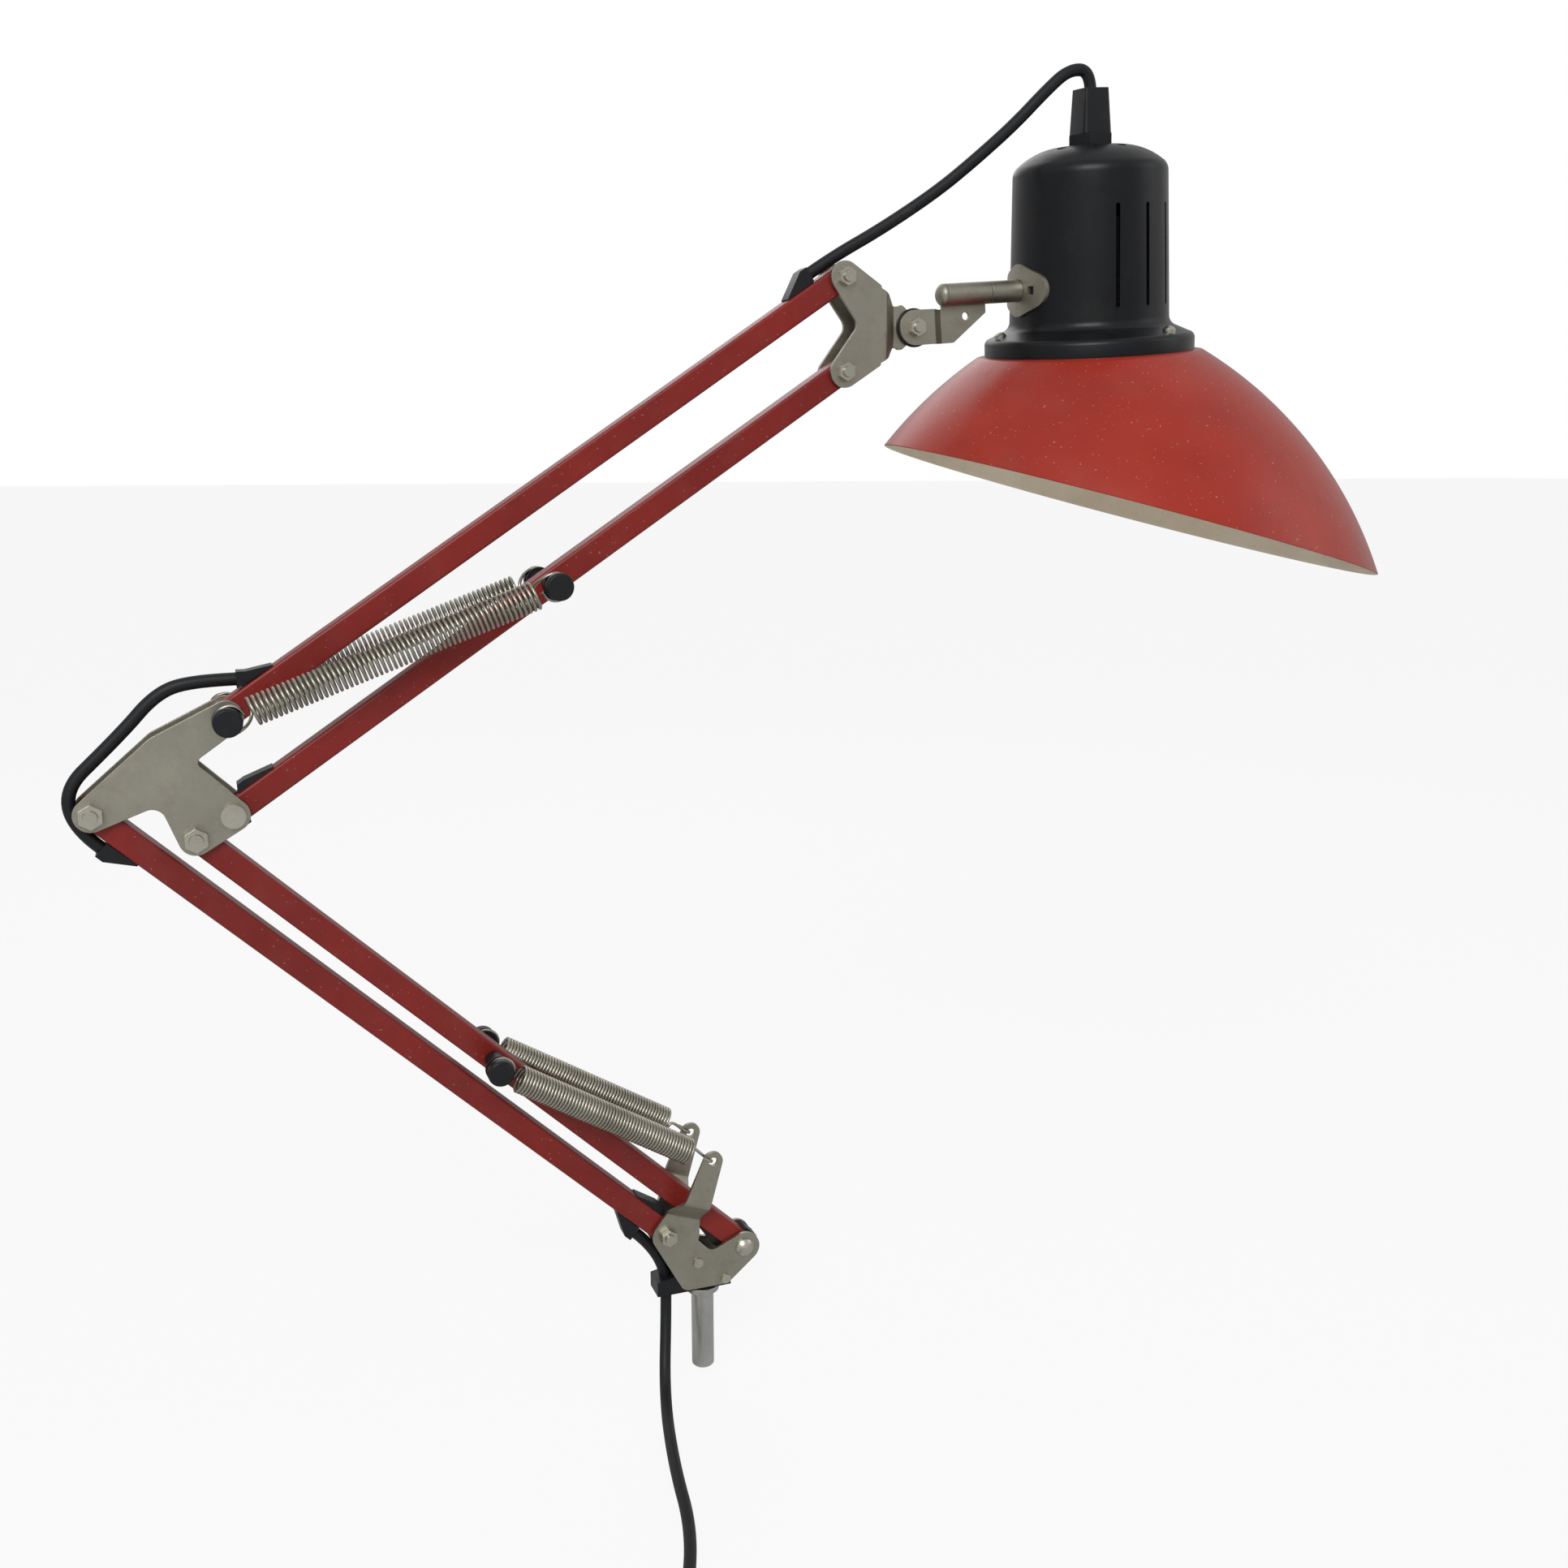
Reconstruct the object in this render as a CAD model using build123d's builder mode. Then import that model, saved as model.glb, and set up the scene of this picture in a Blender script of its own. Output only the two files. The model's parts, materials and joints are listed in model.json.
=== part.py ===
from build123d import *
import os
from math import asin, cos, pi, radians, sin, sqrt, tan

os.makedirs("parts", exist_ok=True)

# Arms. The origin is on the spigot's axis, at the shoulder that rests on the socket.
# The lamp folds in the XZ plane: X runs from the base towards the head, Z is up.
arm_length = 360.0
pivot_spacing = 45.0
lower_arm_angle = 136.4
upper_arm_angle = 33.8
base_line_angle = -18.4
base_front_pivot_height = 24.0
knee_reach = 16.5
knee_rise = 9.7
lower_pin_distance = 180.0
upper_pin_distance = 180.0
tube_width = 12.0
tube_wall = 1.0
tube_corner = 1.5
tube_end_overhang = 7.0
tube_end_radius = 5.8

# Sheet metal and play
cheek_thickness = 2.0
washer_thickness = 1.0
side_play = 0.1

# Fasteners: bolt diameter, then across flats and height of the nut
knee_bolt_diameter = 6.0
knee_nut_flats = 10.0
knee_nut_height = 4.0
small_bolt_diameter = 5.0
small_nut_flats = 8.0
small_nut_height = 3.6
stud_end = 1.2
rivet_head_diameter = 11.0
rivet_head_height = 3.0
dome_head_diameter = 10.0
dome_head_height = 3.2
dome_head_rim = 0.8
knee_washer_diameter = 11.8
small_washer_diameter = 9.6

# Spring pins and bobbins
spring_offset = 21.0
pin_diameter = 6.0
groove_diameter = 8.0
bobbin_diameter = 13.0
bobbin_flange = 1.4
groove_width = 2.8
bobbin_tube_diameter = 9.0
bobbin_cap = 5.0
bobbin_rounding = 0.8
pin_end_inset = 0.6

# Springs
wire_diameter = 1.6
coil_diameter = 14.2
coil_turns = 22
spring_lead = 11.0
hook_lead = 15.5
loop_sweep = 255.0
loop_arcs = 3
loop_play = 0.3
hook_radius = 2.8
hook_stub = 3.0
hook_play = 0.6
wire_end = 1.8

# Base
spigot_diameter = 12.0
spigot_length = 45.0
spigot_chamfer = 1.0
collar_diameter = 18.0
collar_height = 3.0
lobe_radius = 8.4
tip_radius = 5.3
tip_hole_diameter = 4.6
tip_layer = 19.5
tip_reach = 21.6
tip_rise = 43.6
bend_start = 36.0
bend_end = 25.0
bend_radius = 3.0
block_play = 0.1
block_rivet_diameter = 3.0
block_rivet_head = 5.2
block_rivet_head_height = 1.0
cord_eye_diameter = 6.1

# Knee plates
knee_lobe_radius = 7.6

# Head bracket
tilt_reach = 40.0
bracket_lobe_radius = 7.6
neck_radius = 8.4
neck_bend_start = -18.4
neck_bend_end = -11.7
throat_rounding = 5.0

# Tilt link and spindle, in the link's own frame with x along the spindle from the tilt bolt
head_tilt = 4.8
link_thickness = 2.0
link_end_radius = 8.6
link_bend_start = 10.5
link_bend_end = 17.5
link_hole_diameter = 4.0
fibre_diameter = 19.0
spindle_rise = 15.1
sleeve_diameter = 11.0
spindle_diameter = 7.0
sleeve_start = 19.3
sleeve_end = 44.0
spindle_dome = 4.6
spindle_head_rim = 1.5
spindle_play = 0.35
stud_diameter = 6.0
stud_reach = 8.6
saddle_thickness = 1.6
saddle_height = 26.0
saddle_reach = 11.4
saddle_tip_radius = 9.0
saddle_hole = 4.0
saddle_hole_offset = 11.0

# Lamp housing, in the head's frame with z from the spindle's axis along the housing
head_roll = 4.7
head_reach = 103.4
sheet = 1.0
roof_level = 68.6
roof_flat_radius = 13.0
roof_hole_radius = 5.1
wall_top_radius = 39.3
wall_top_level = 55.0
wall_foot_radius = 41.3
wall_foot_level = -16.0
flange_radius = 54.5
flange_level = -33.3
flange_edge_level = -27.0
slot_top = 39.5
slot_bottom = -10.0
slot_width = 2.2
slot_count = 9
slot_step = 25.25
vent_count = 9
vent_diameter = 4.6
vent_ring_radius = 23.0
vent_turn = 160.7
screw_count = 3
screw_turn = 52.7
screw_ring_radius = 49.4
screw_head_diameter = 6.4
screw_head_height = 2.2
screw_head_rim = 0.4
screw_level = -22.4
screw_seat_depth = 5.0
screw_diameter = 3.0
screw_reach = 14.0
screw_nut_flats = 5.5
screw_nut_height = 2.4

# Shade
collar_inner_radius = 43.5
shade_arc_radius = 225.9
shade_arc_centre_radius = -62.2
shade_arc_centre_level = -224.5
rim_level = -110.5
rim_slope = -0.34

# Lampholder and its cord entry
nipple_diameter = 10.0
nipple_bore = 6.4
nipple_bottom = 42.0
nipple_top = 76.0
collar_nut_flats = 21.0
collar_nut_height = 5.4
tower_width = 16.5
tower_top = 95.6
tower_taper = 4.0
tower_corner = 2.5
holder_diameter = 38.0
holder_neck_diameter = 22.0
holder_neck_level = 44.0
holder_shoulder_level = 34.0
holder_mouth_level = -8.0
holder_floor_level = 18.0
socket_diameter = 27.6
shell_thickness = 0.5
contact_diameter = 9.0
contact_height = 1.5
shell_recess = 3.0

# Cords
cord_diameter = 6.0
mouth_distance = 13.5
mouth_offset = 10.2
mouth_depth = 7.6
hood_end = 30.0
hood_width = 9.2
hood_slot_width = 7.0
blind_hood_height = 3.4
blind_hood_start = 9.5
hood_crest = 4.0
hood_lip = 0.6
insert_play = 0.1
insert_depth = 9.4
cord_insert_depth = 33.0
heel_height = 2.0
heel_reach = 4.0
insert_neck_width = 3.8
surface_level = -50.0
lead_bearing = 249.2
switch_start = 188.0
switch_length = 62.0
switch_width = 24.0
switch_height = 16.0
rocker_length = 17.0
rocker_width = 11.0
rocker_tilt = 9.0
coil_centre_along = 310.0
coil_side = 2.0
coil_outer_radius = 42.0
cord_turn_pitch = 6.8
coil_layer_turns = 2.5
coil_tail_level = 3.5
plug_lead = 22.0
plug_length = 36.0
plug_width = 26.0
plug_height = 13.0
plug_pin_diameter = 4.0
plug_pin_length = 19.0
plug_pin_spacing = 18.8

front = Vector(0, -1, 0)
back = Vector(0, 1, 0)
up = Vector(0, 0, 1)
right = Vector(1, 0, 0)
loose = 0.05


def direction(angle):
    return Vector(cos(radians(angle)), 0, sin(radians(angle)))


def across(angle):
    return Vector(-sin(radians(angle)), 0, cos(radians(angle)))


lower_run = direction(lower_arm_angle)
upper_run = direction(upper_arm_angle)
base_line = direction(base_line_angle)

# Pivots: b at the base, k and e at the knee, h at the head. The bars with the cord end in 1.
pivot_b2 = Vector(pivot_spacing * base_line.X / 2, 0, base_front_pivot_height)
pivot_b1 = pivot_b2 - base_line * pivot_spacing
pivot_k1 = pivot_b1 + lower_run * arm_length
pivot_k2 = pivot_b2 + lower_run * arm_length
pivot_e2 = pivot_k2 + Vector(knee_reach, 0, knee_rise)
pivot_e1 = pivot_e2 + up * pivot_spacing
pivot_h1 = pivot_e1 + upper_run * arm_length
pivot_h2 = pivot_e2 + upper_run * arm_length
tilt_pivot = (pivot_h1 + pivot_h2) * 0.5 + right * tilt_reach
lower_pin = pivot_k2 - lower_run * lower_pin_distance
upper_pin = pivot_e2 + upper_run * upper_pin_distance
spring_tip = pivot_b1 + Vector(tip_reach, 0, tip_rise)

# The head's frames
link_run = direction(head_tilt)
link_up = across(head_tilt)
head_up = link_up * cos(radians(head_roll)) + front * sin(radians(head_roll))
spindle_start = tilt_pivot + link_up * spindle_rise
head_centre = spindle_start + link_run * head_reach
head_plane = Plane(origin=head_centre, x_dir=link_run, z_dir=head_up)
head_side = Plane(origin=head_centre, x_dir=link_run, z_dir=link_run.cross(head_up))
head_axis = Axis(head_centre, head_up)
link_side = Plane(origin=tilt_pivot, x_dir=link_run, z_dir=front)
link_top = Plane(origin=tilt_pivot, x_dir=link_run, z_dir=link_up)

# Layers outwards from the middle plane
bar_face = tube_width / 2
washer_face = bar_face + side_play
cheek_inner = washer_face + washer_thickness
cheek_outer = cheek_inner + cheek_thickness
cheek_layer = cheek_inner + cheek_thickness / 2


def flat(depth):
    # Faces the front at that depth, with X and Z as its own axes
    return Plane(origin=(0, depth, 0), x_dir=right, z_dir=front)


def along_bar(start, angle):
    return Plane(origin=start, x_dir=direction(angle), z_dir=front)


def spot(point):
    return (point.X, point.Z)


def finish(part, name):
    part.label = name
    export_step(part, "parts/" + name + ".step")
    print(name, round(part.volume), "mm3", len(part.solids()), "solids")


def disc(centre, radius, start, end):
    # A round solid along Y, from start to end
    with BuildPart() as body:
        with BuildSketch(Plane(origin=(centre.X, start, centre.Z), z_dir=back)):
            Circle(radius)
        extrude(amount=end - start)
    return body.part


def hexagon(centre, flats, bore, start, end):
    with BuildPart() as body:
        with BuildSketch(Plane(origin=(centre.X, start, centre.Z), z_dir=back)):
            RegularPolygon(flats / 2, 6, major_radius=False)
            Circle(bore, mode=Mode.SUBTRACT)
        extrude(amount=end - start)
    return body.part


def group(*parts):
    return Compound(children=[solid for part in parts for solid in part.solids()])


def web(*circles):
    # The outline drawn tight round circles of (point, radius)
    with BuildSketch() as outline:
        for point, radius in circles:
            with Locations(spot(point)):
                Circle(radius)
        make_hull()
    return outline.sketch


def joined_outline(webs, corners, holes):
    # Webs joined, with the inside corners nearest the given places rounded, and holes
    with BuildSketch() as outline:
        for piece in webs:
            add(piece)
        for place, radius in corners:
            fillet(outline.vertices().sort_by_distance(place)[0], radius)
        for centre, radius in holes:
            with Locations(spot(centre)):
                Circle(radius, mode=Mode.SUBTRACT)
    return outline.sketch


def folded_strip(points, thickness, radius):
    # The section of a bent sheet along its middle line
    left = []
    right_side = []
    left_radii = []
    right_radii = []
    for index, point in enumerate(points):
        before = points[max(index - 1, 0)]
        after = points[min(index + 1, len(points) - 1)]
        first = (point - before).normalized() if index else (after - point).normalized()
        last = (after - point).normalized() if index < len(points) - 1 else first
        middle = (first + last).normalized()
        normal = Vector(-middle.Y, middle.X, 0) * (thickness / 2 / middle.dot(first))
        left.append(point + normal)
        right_side.append(point - normal)
        if 0 < index < len(points) - 1:
            bend = 1 if first.cross(last).Z > 0 else -1
            left_radii.append(radius - bend * thickness / 2)
            right_radii.append(radius + bend * thickness / 2)
    with BuildSketch() as section:
        with BuildLine():
            FilletPolyline(*left, radius=left_radii)
            Line(left[-1], right_side[-1])
            FilletPolyline(*reversed(right_side), radius=list(reversed(right_radii)))
            Line(right_side[0], left[0])
        make_face()
    return section.sketch


# Bars: one square tube with rounded ends, a bore at each pivot and slots for the cord's boots
def make_bar(name, start, angle, bores, slots=(), studs=(), pin_hole=None):
    plane = along_bar(start, angle)
    run = direction(angle)
    length = arm_length + 2 * tube_end_overhang
    with BuildPart() as bar:
        with BuildSketch(Plane(origin=start - run * tube_end_overhang, x_dir=back, z_dir=run)):
            RectangleRounded(tube_width, tube_width, tube_corner)
            Rectangle(tube_width - 2 * tube_wall, tube_width - 2 * tube_wall, mode=Mode.SUBTRACT)
        extrude(amount=length)
        with BuildSketch(plane):
            with Locations((arm_length / 2, 0)):
                RectangleRounded(length, tube_width, tube_end_radius)
        extrude(amount=tube_width, both=True, mode=Mode.INTERSECT)
        with BuildSketch(plane):
            for place, radius in bores:
                with Locations((place, 0)):
                    Circle(radius)
            if pin_hole:
                with Locations((pin_hole, 0)):
                    Circle(pin_diameter / 2 + loose)
        extrude(amount=tube_width, both=True, mode=Mode.SUBTRACT)
        for place, side in slots:
            face = Plane(origin=start + run * place, x_dir=run, z_dir=across(angle) * side)
            with BuildSketch(face):
                Rectangle(hood_end - mouth_distance, hood_slot_width)
            extrude(amount=tube_width, mode=Mode.SUBTRACT)
        for place, side in studs:
            face = Plane(origin=start + run * place, x_dir=run, z_dir=across(angle) * side)
            with BuildSketch(face):
                Circle(insert_neck_width / 2 + loose)
            extrude(amount=tube_width, mode=Mode.SUBTRACT)
    finish(bar.part, name)


def end_insert(pivot, angle, side, bore, mouth_turn=None, blind_sides=(), heel_sides=()):
    # The black moulding in one bar end. Its x axis runs from the pivot along the bar and
    # side tells which way its cord boot faces; mouth_turn tilts the boot's mouth outwards.
    run = direction(angle)
    outward = across(angle)
    plane = Plane(origin=pivot, x_dir=run, z_dir=run.cross(outward))
    depth = cord_insert_depth if mouth_turn is not None else insert_depth
    plug = tube_width - 2 * tube_wall - 2 * insert_play
    nose = tube_end_overhang - tube_wall
    face = bar_face + loose
    with BuildPart() as insert:
        with BuildSketch(plane):
            with Locations(((depth - nose) / 2, 0)):
                RectangleRounded(depth + nose, plug, plug / 2 - insert_play)
            with Locations(((depth - nose) / 2 + nose, 0)):
                Rectangle(depth - nose, plug)
        extrude(amount=plug / 2, both=True)
        if mouth_turn is not None:
            lean = Vector(cos(radians(mouth_turn)), -sin(radians(mouth_turn)), 0)
            cross = Vector(sin(radians(mouth_turn)), cos(radians(mouth_turn)), 0)
            middle = Vector(mouth_distance, mouth_offset, 0)
            lip = middle + cross * (mouth_depth / 2)
            foot = middle - cross * (mouth_depth / 2)
            crest = lip + lean * hood_crest
            with BuildSketch(Plane(origin=pivot, x_dir=run, z_dir=run.cross(outward * side))):
                with BuildLine():
                    Polyline(
                        (hood_end, face), (foot.X, max(foot.Y, face)), (lip.X, lip.Y),
                        (crest.X, crest.Y), (hood_end, face + hood_lip), close=True,
                    )
                make_face()
            extrude(amount=hood_width / 2, both=True)
            slot_start = pivot + run * ((mouth_distance + hood_end) / 2)
            slot = Plane(
                origin=slot_start + outward * side * (plug / 2 - 1), x_dir=run, z_dir=outward * side
            )
            with BuildSketch(slot):
                Rectangle(hood_end - mouth_distance - 2 * insert_play, hood_slot_width - 2 * insert_play)
            extrude(amount=face - plug / 2 + 1.2)
        for blind in blind_sides:
            with BuildSketch(Plane(origin=pivot, x_dir=run, z_dir=run.cross(outward * blind))):
                with BuildLine():
                    Polyline(
                        (hood_end - 3, face),
                        (blind_hood_start - 2, face),
                        (blind_hood_start, face + blind_hood_height),
                        (blind_hood_start + hood_crest, face + blind_hood_height),
                        (hood_end - 3, face + hood_lip),
                        close=True,
                    )
                make_face()
            extrude(amount=hood_width / 2, both=True)
        for heel_side in heel_sides:
            with BuildSketch(Plane(origin=pivot, x_dir=run, z_dir=run.cross(outward * heel_side))):
                with Locations((0, face + heel_height / 2)):
                    Rectangle(2 * heel_reach, heel_height)
            extrude(amount=hood_width / 2, both=True)
        for stud_side in (*blind_sides, *heel_sides):
            place = insert_depth - insert_neck_width / 2 - 0.2 if stud_side in blind_sides else 0
            stud = Plane(origin=pivot + run * place, x_dir=run, z_dir=outward * stud_side)
            with BuildSketch(stud):
                Circle(insert_neck_width / 2)
            extrude(amount=face + 0.5)
        with BuildSketch(plane):
            Circle(bore)
        extrude(amount=tube_width, both=True, mode=Mode.SUBTRACT)
    return insert.part


knee_bore = knee_bolt_diameter / 2 + loose
small_bore = small_bolt_diameter / 2 + loose
stud_place = insert_depth - insert_neck_width / 2 - 0.2
slot_middle = (mouth_distance + hood_end) / 2

make_bar(
    "lower_back_bar", pivot_b1, lower_arm_angle,
    [(0, small_bore), (arm_length, knee_bore)],
    slots=[(slot_middle, 1), (arm_length - slot_middle, 1)],
    studs=[(stud_place, -1)],
)
finish(
    group(
        end_insert(pivot_b1, lower_arm_angle, 1, small_bore, mouth_turn=0, blind_sides=[-1]),
        end_insert(pivot_k1, lower_arm_angle + 180, -1, knee_bore, mouth_turn=0),
    ),
    "lower_back_inserts",
)
make_bar(
    "lower_front_bar", pivot_b2, lower_arm_angle,
    [(0, small_bore), (arm_length, knee_bore)],
    studs=[(stud_place, 1), (0, -1)],
    pin_hole=arm_length - lower_pin_distance,
)
finish(
    group(
        end_insert(pivot_b2, lower_arm_angle, 1, small_bore, blind_sides=[1], heel_sides=[-1]),
        end_insert(pivot_k2, lower_arm_angle + 180, 1, knee_bore),
    ),
    "lower_front_inserts",
)
make_bar(
    "upper_top_bar", pivot_e1, upper_arm_angle,
    [(0, knee_bore), (arm_length, small_bore)],
    slots=[(slot_middle, 1), (arm_length - slot_middle, 1)],
)
finish(
    group(
        end_insert(pivot_e1, upper_arm_angle, 1, knee_bore, mouth_turn=upper_arm_angle),
        end_insert(pivot_h1, upper_arm_angle + 180, -1, small_bore, mouth_turn=0),
    ),
    "upper_top_inserts",
)
make_bar(
    "upper_bottom_bar", pivot_e2, upper_arm_angle,
    [(0, knee_bore), (arm_length, small_bore)],
    studs=[(stud_place, 1), (0, -1)],
    pin_hole=upper_pin_distance,
)
finish(
    group(
        end_insert(pivot_e2, upper_arm_angle, 1, knee_bore, blind_sides=[1], heel_sides=[-1]),
        end_insert(pivot_h2, upper_arm_angle + 180, 1, small_bore),
    ),
    "upper_bottom_inserts",
)


# Base: two cheeks with raised spring arms, a block that carries the spigot, and their fasteners
arm_foot = Vector(-11.8, 0, 50.5)
arm_waist = Vector(-8.3, 0, 58.0)
column_waist = Vector(-12.3, 0, 36.5)
foot_left = Vector(-10.0, 0, 10.0)
foot_right = Vector(10.0, 0, 10.0)
arm_direction = (spring_tip - arm_foot).normalized()
block_corners = [
    (-27.0, 3.0), (-27.0, 11.0), (-12.0, 14.0), (-11.0, 27.0), (-6.5, 32.5),
    (2.0, 23.5), (8.0, 15.5), (14.0, 11.0), (14.0, 3.0),
]
block_rivets = [Vector(-5.0, 0, 20.0), Vector(10.5, 0, 8.0)]
cord_eye = Vector(-20.5, 0, 5.0)


def cheek_outline():
    webs = [
        web((pivot_b1, lobe_radius), (column_waist, 8.2), (arm_foot, 8.2)),
        web((arm_foot, 8.2), (arm_waist, 7.2)),
        web((arm_waist, 7.2), (spring_tip, tip_radius)),
        web((pivot_b1, lobe_radius), (foot_left, 5.0), (Vector(1, 0, 18.0), 6.0)),
        web((foot_left, 5.0), (foot_right, 5.0), (pivot_b2, lobe_radius), (Vector(1, 0, 18.0), 6.0)),
    ]
    holes = [
        (pivot_b1, small_bore),
        (pivot_b2, small_bore),
        (spring_tip, tip_hole_diameter / 2),
        *[(rivet, block_rivet_diameter / 2) for rivet in block_rivets],
    ]
    return joined_outline(webs, [((-4.0, 26.0), 5.0), ((-19.0, 57.0), 5.0)], holes)


def base_cheek(name, side):
    section = folded_strip(
        [
            Vector(-90, side * cheek_layer, 0),
            Vector(-bend_start, side * cheek_layer, 0),
            Vector(-bend_end, side * tip_layer, 0),
            Vector(20, side * tip_layer, 0),
        ],
        cheek_thickness,
        bend_radius,
    )
    frame = Plane(
        origin=spring_tip, x_dir=arm_direction, z_dir=Vector(-arm_direction.Z, 0, arm_direction.X)
    )
    with BuildPart() as cheek:
        with BuildSketch(frame):
            add(section)
        extrude(amount=80, both=True)
        with BuildSketch(flat(0)):
            add(cheek_outline())
        extrude(amount=30, both=True, mode=Mode.INTERSECT)
    finish(cheek.part, name)


base_cheek("base_plate_front", -1)
base_cheek("base_plate_rear", 1)

block_half = cheek_inner - block_play
with BuildPart() as base_block:
    with BuildSketch(flat(block_half)):
        with BuildLine():
            Polyline(*block_corners, close=True)
        make_face()
    extrude(amount=2 * block_half)
    with BuildSketch(flat(block_half)):
        for rivet in block_rivets:
            with Locations(spot(rivet)):
                Circle(block_rivet_diameter / 2)
    extrude(amount=2 * block_half, mode=Mode.SUBTRACT)
    with BuildSketch(Plane.XY):
        Circle(spigot_diameter / 2)
    extrude(amount=12, mode=Mode.SUBTRACT)
    with BuildSketch(Plane.XY):
        with Locations(spot(Vector(cord_eye.X, 0, 0))):
            Circle(cord_eye_diameter / 2)
    extrude(amount=20, mode=Mode.SUBTRACT)
finish(base_block.part, "base_block")

with BuildPart() as base_spigot:
    with BuildSketch(Plane.XY.offset(-spigot_length)):
        Circle(spigot_diameter / 2)
    extrude(amount=spigot_length + 12)
    chamfer(base_spigot.edges().sort_by(Axis.Z)[0], spigot_chamfer)
    with BuildSketch(Plane.XY):
        Circle(collar_diameter / 2)
    extrude(amount=collar_height)
finish(base_spigot.part, "base_spigot")


def crown(half_width, rise):
    # The middle point of a dome's arc, whose centre lies on the axis
    radius = (half_width**2 + rise**2) / (2 * rise)
    turn = asin(half_width / radius) / 2
    return radius * sin(turn), rise - radius * (1 - cos(turn))


def rivet(centre, diameter, head_diameter, head_height, outer):
    return group(
        disc(centre, diameter / 2, -outer, outer).fuse(
            disc(centre, head_diameter / 2, outer, outer + head_height),
            disc(centre, head_diameter / 2, -outer - head_height, -outer),
        )
    )


def hex_bolt(centre, diameter, flats, head_height, outer):
    # Its head is at the back and its nut goes on the front end
    shank = disc(centre, diameter / 2, -outer - head_height - stud_end, outer)
    head = hexagon(centre, flats, 0.01, outer, outer + head_height)
    with BuildPart() as bolt:
        add(shank)
        add(head)
        with BuildSketch(Plane(origin=(centre.X, outer + head_height / 2, centre.Z), z_dir=back)):
            Circle(diameter / 2)
        extrude(amount=head_height / 2)
    return bolt.part


def dome_bolt(centre, diameter, outer, nut_height):
    # A domed head at the front and a threaded end at the back
    with BuildPart() as bolt:
        with BuildSketch(Plane(origin=(centre.X, 0, centre.Z), x_dir=right, z_dir=up)):
            with BuildLine():
                edge = dome_head_diameter / 2
                rim = -outer - dome_head_rim
                middle, rise = crown(edge, dome_head_height - dome_head_rim)
                Polyline(
                    (0, -outer - dome_head_height), (0, outer + nut_height + stud_end),
                    (diameter / 2, outer + nut_height + stud_end), (diameter / 2, -outer),
                    (edge, -outer), (edge, rim),
                )
                ThreePointArc((edge, rim), (middle, rim - rise), (0, -outer - dome_head_height))
            make_face()
        revolve(axis=Axis((centre.X, 0, centre.Z), (0, 1, 0)))
    return bolt.part


def nut(centre, diameter, flats, height, side, face):
    start = face if side > 0 else -face - height
    return hexagon(centre, flats, diameter / 2, start, start + height)


def washers(pivots, outer_diameter, bore):
    rings = []
    for centre in pivots:
        for start in (washer_face, -cheek_inner):
            with BuildPart() as ring:
                with BuildSketch(Plane(origin=(centre.X, start, centre.Z), z_dir=back)):
                    Circle(outer_diameter / 2)
                    Circle(bore, mode=Mode.SUBTRACT)
                extrude(amount=washer_thickness)
            rings.append(ring.part)
    return rings


def knee_bolt(centre):
    return hex_bolt(centre, knee_bolt_diameter, knee_nut_flats, knee_nut_height, cheek_outer)


def small_bolt(centre):
    return hex_bolt(centre, small_bolt_diameter, small_nut_flats, small_nut_height, cheek_outer)


def small_nut(centre, side):
    return nut(centre, small_bolt_diameter, small_nut_flats, small_nut_height, side, cheek_outer)


base_pins = [
    rivet(centre, block_rivet_diameter, block_rivet_head, block_rivet_head_height, cheek_outer)
    for centre in block_rivets
]
base_front_bolt = dome_bolt(pivot_b2, small_bolt_diameter, cheek_outer, small_nut_height)
finish(group(small_bolt(pivot_b1), base_front_bolt, *base_pins), "base_bolts")
base_washers = washers([pivot_b1, pivot_b2], small_washer_diameter, small_bore)
finish(group(small_nut(pivot_b1, -1), small_nut(pivot_b2, 1), *base_washers), "base_nuts")


# Knee
knee_bulge = Vector(-250.0, 0, 311.0)
knee_waist = Vector(-246.0, 0, 300.0)
knee_arch = Vector(-250.0, 0, 301.0)


def knee_plate(name, side):
    webs = [
        web((pivot_k1, knee_lobe_radius), (knee_bulge, 10.0), (pivot_e1, knee_lobe_radius)),
        web((pivot_k1, knee_lobe_radius), (knee_arch, 10.0)),
        web((knee_waist, 11.0), (pivot_e2, knee_lobe_radius), (pivot_k2, knee_lobe_radius)),
    ]
    corners = [((-236.0, 306.0), 3.0), ((-256.0, 290.0), 6.0)]
    holes = [(pivot, knee_bore) for pivot in (pivot_k1, pivot_k2, pivot_e1, pivot_e2)]
    depth = cheek_inner if side > 0 else -cheek_outer
    with BuildPart() as plate:
        with BuildSketch(flat(depth)):
            add(joined_outline(webs, corners, holes))
        extrude(amount=-cheek_thickness)
    finish(plate.part, name)


knee_plate("knee_plate_front", -1)
knee_plate("knee_plate_rear", 1)
finish(
    group(
        knee_bolt(pivot_k1), knee_bolt(pivot_k2),
        rivet(pivot_e2, knee_bolt_diameter, rivet_head_diameter, rivet_head_height, cheek_outer),
    ),
    "knee_bolts",
)
knee_washers = washers(
    [pivot_k1, pivot_k2, pivot_e1, pivot_e2], knee_washer_diameter, knee_bore
)
knee_nuts = [
    nut(pivot, knee_bolt_diameter, knee_nut_flats, knee_nut_height, -1, cheek_outer)
    for pivot in (pivot_k1, pivot_k2)
]
finish(group(*knee_nuts, *knee_washers), "knee_nuts")


# Spring pins with a grooved bobbin on each end
flange_start = spring_offset - groove_width / 2 - bobbin_flange
cap_start = spring_offset + groove_width / 2
cap_end = cap_start + bobbin_cap


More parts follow.
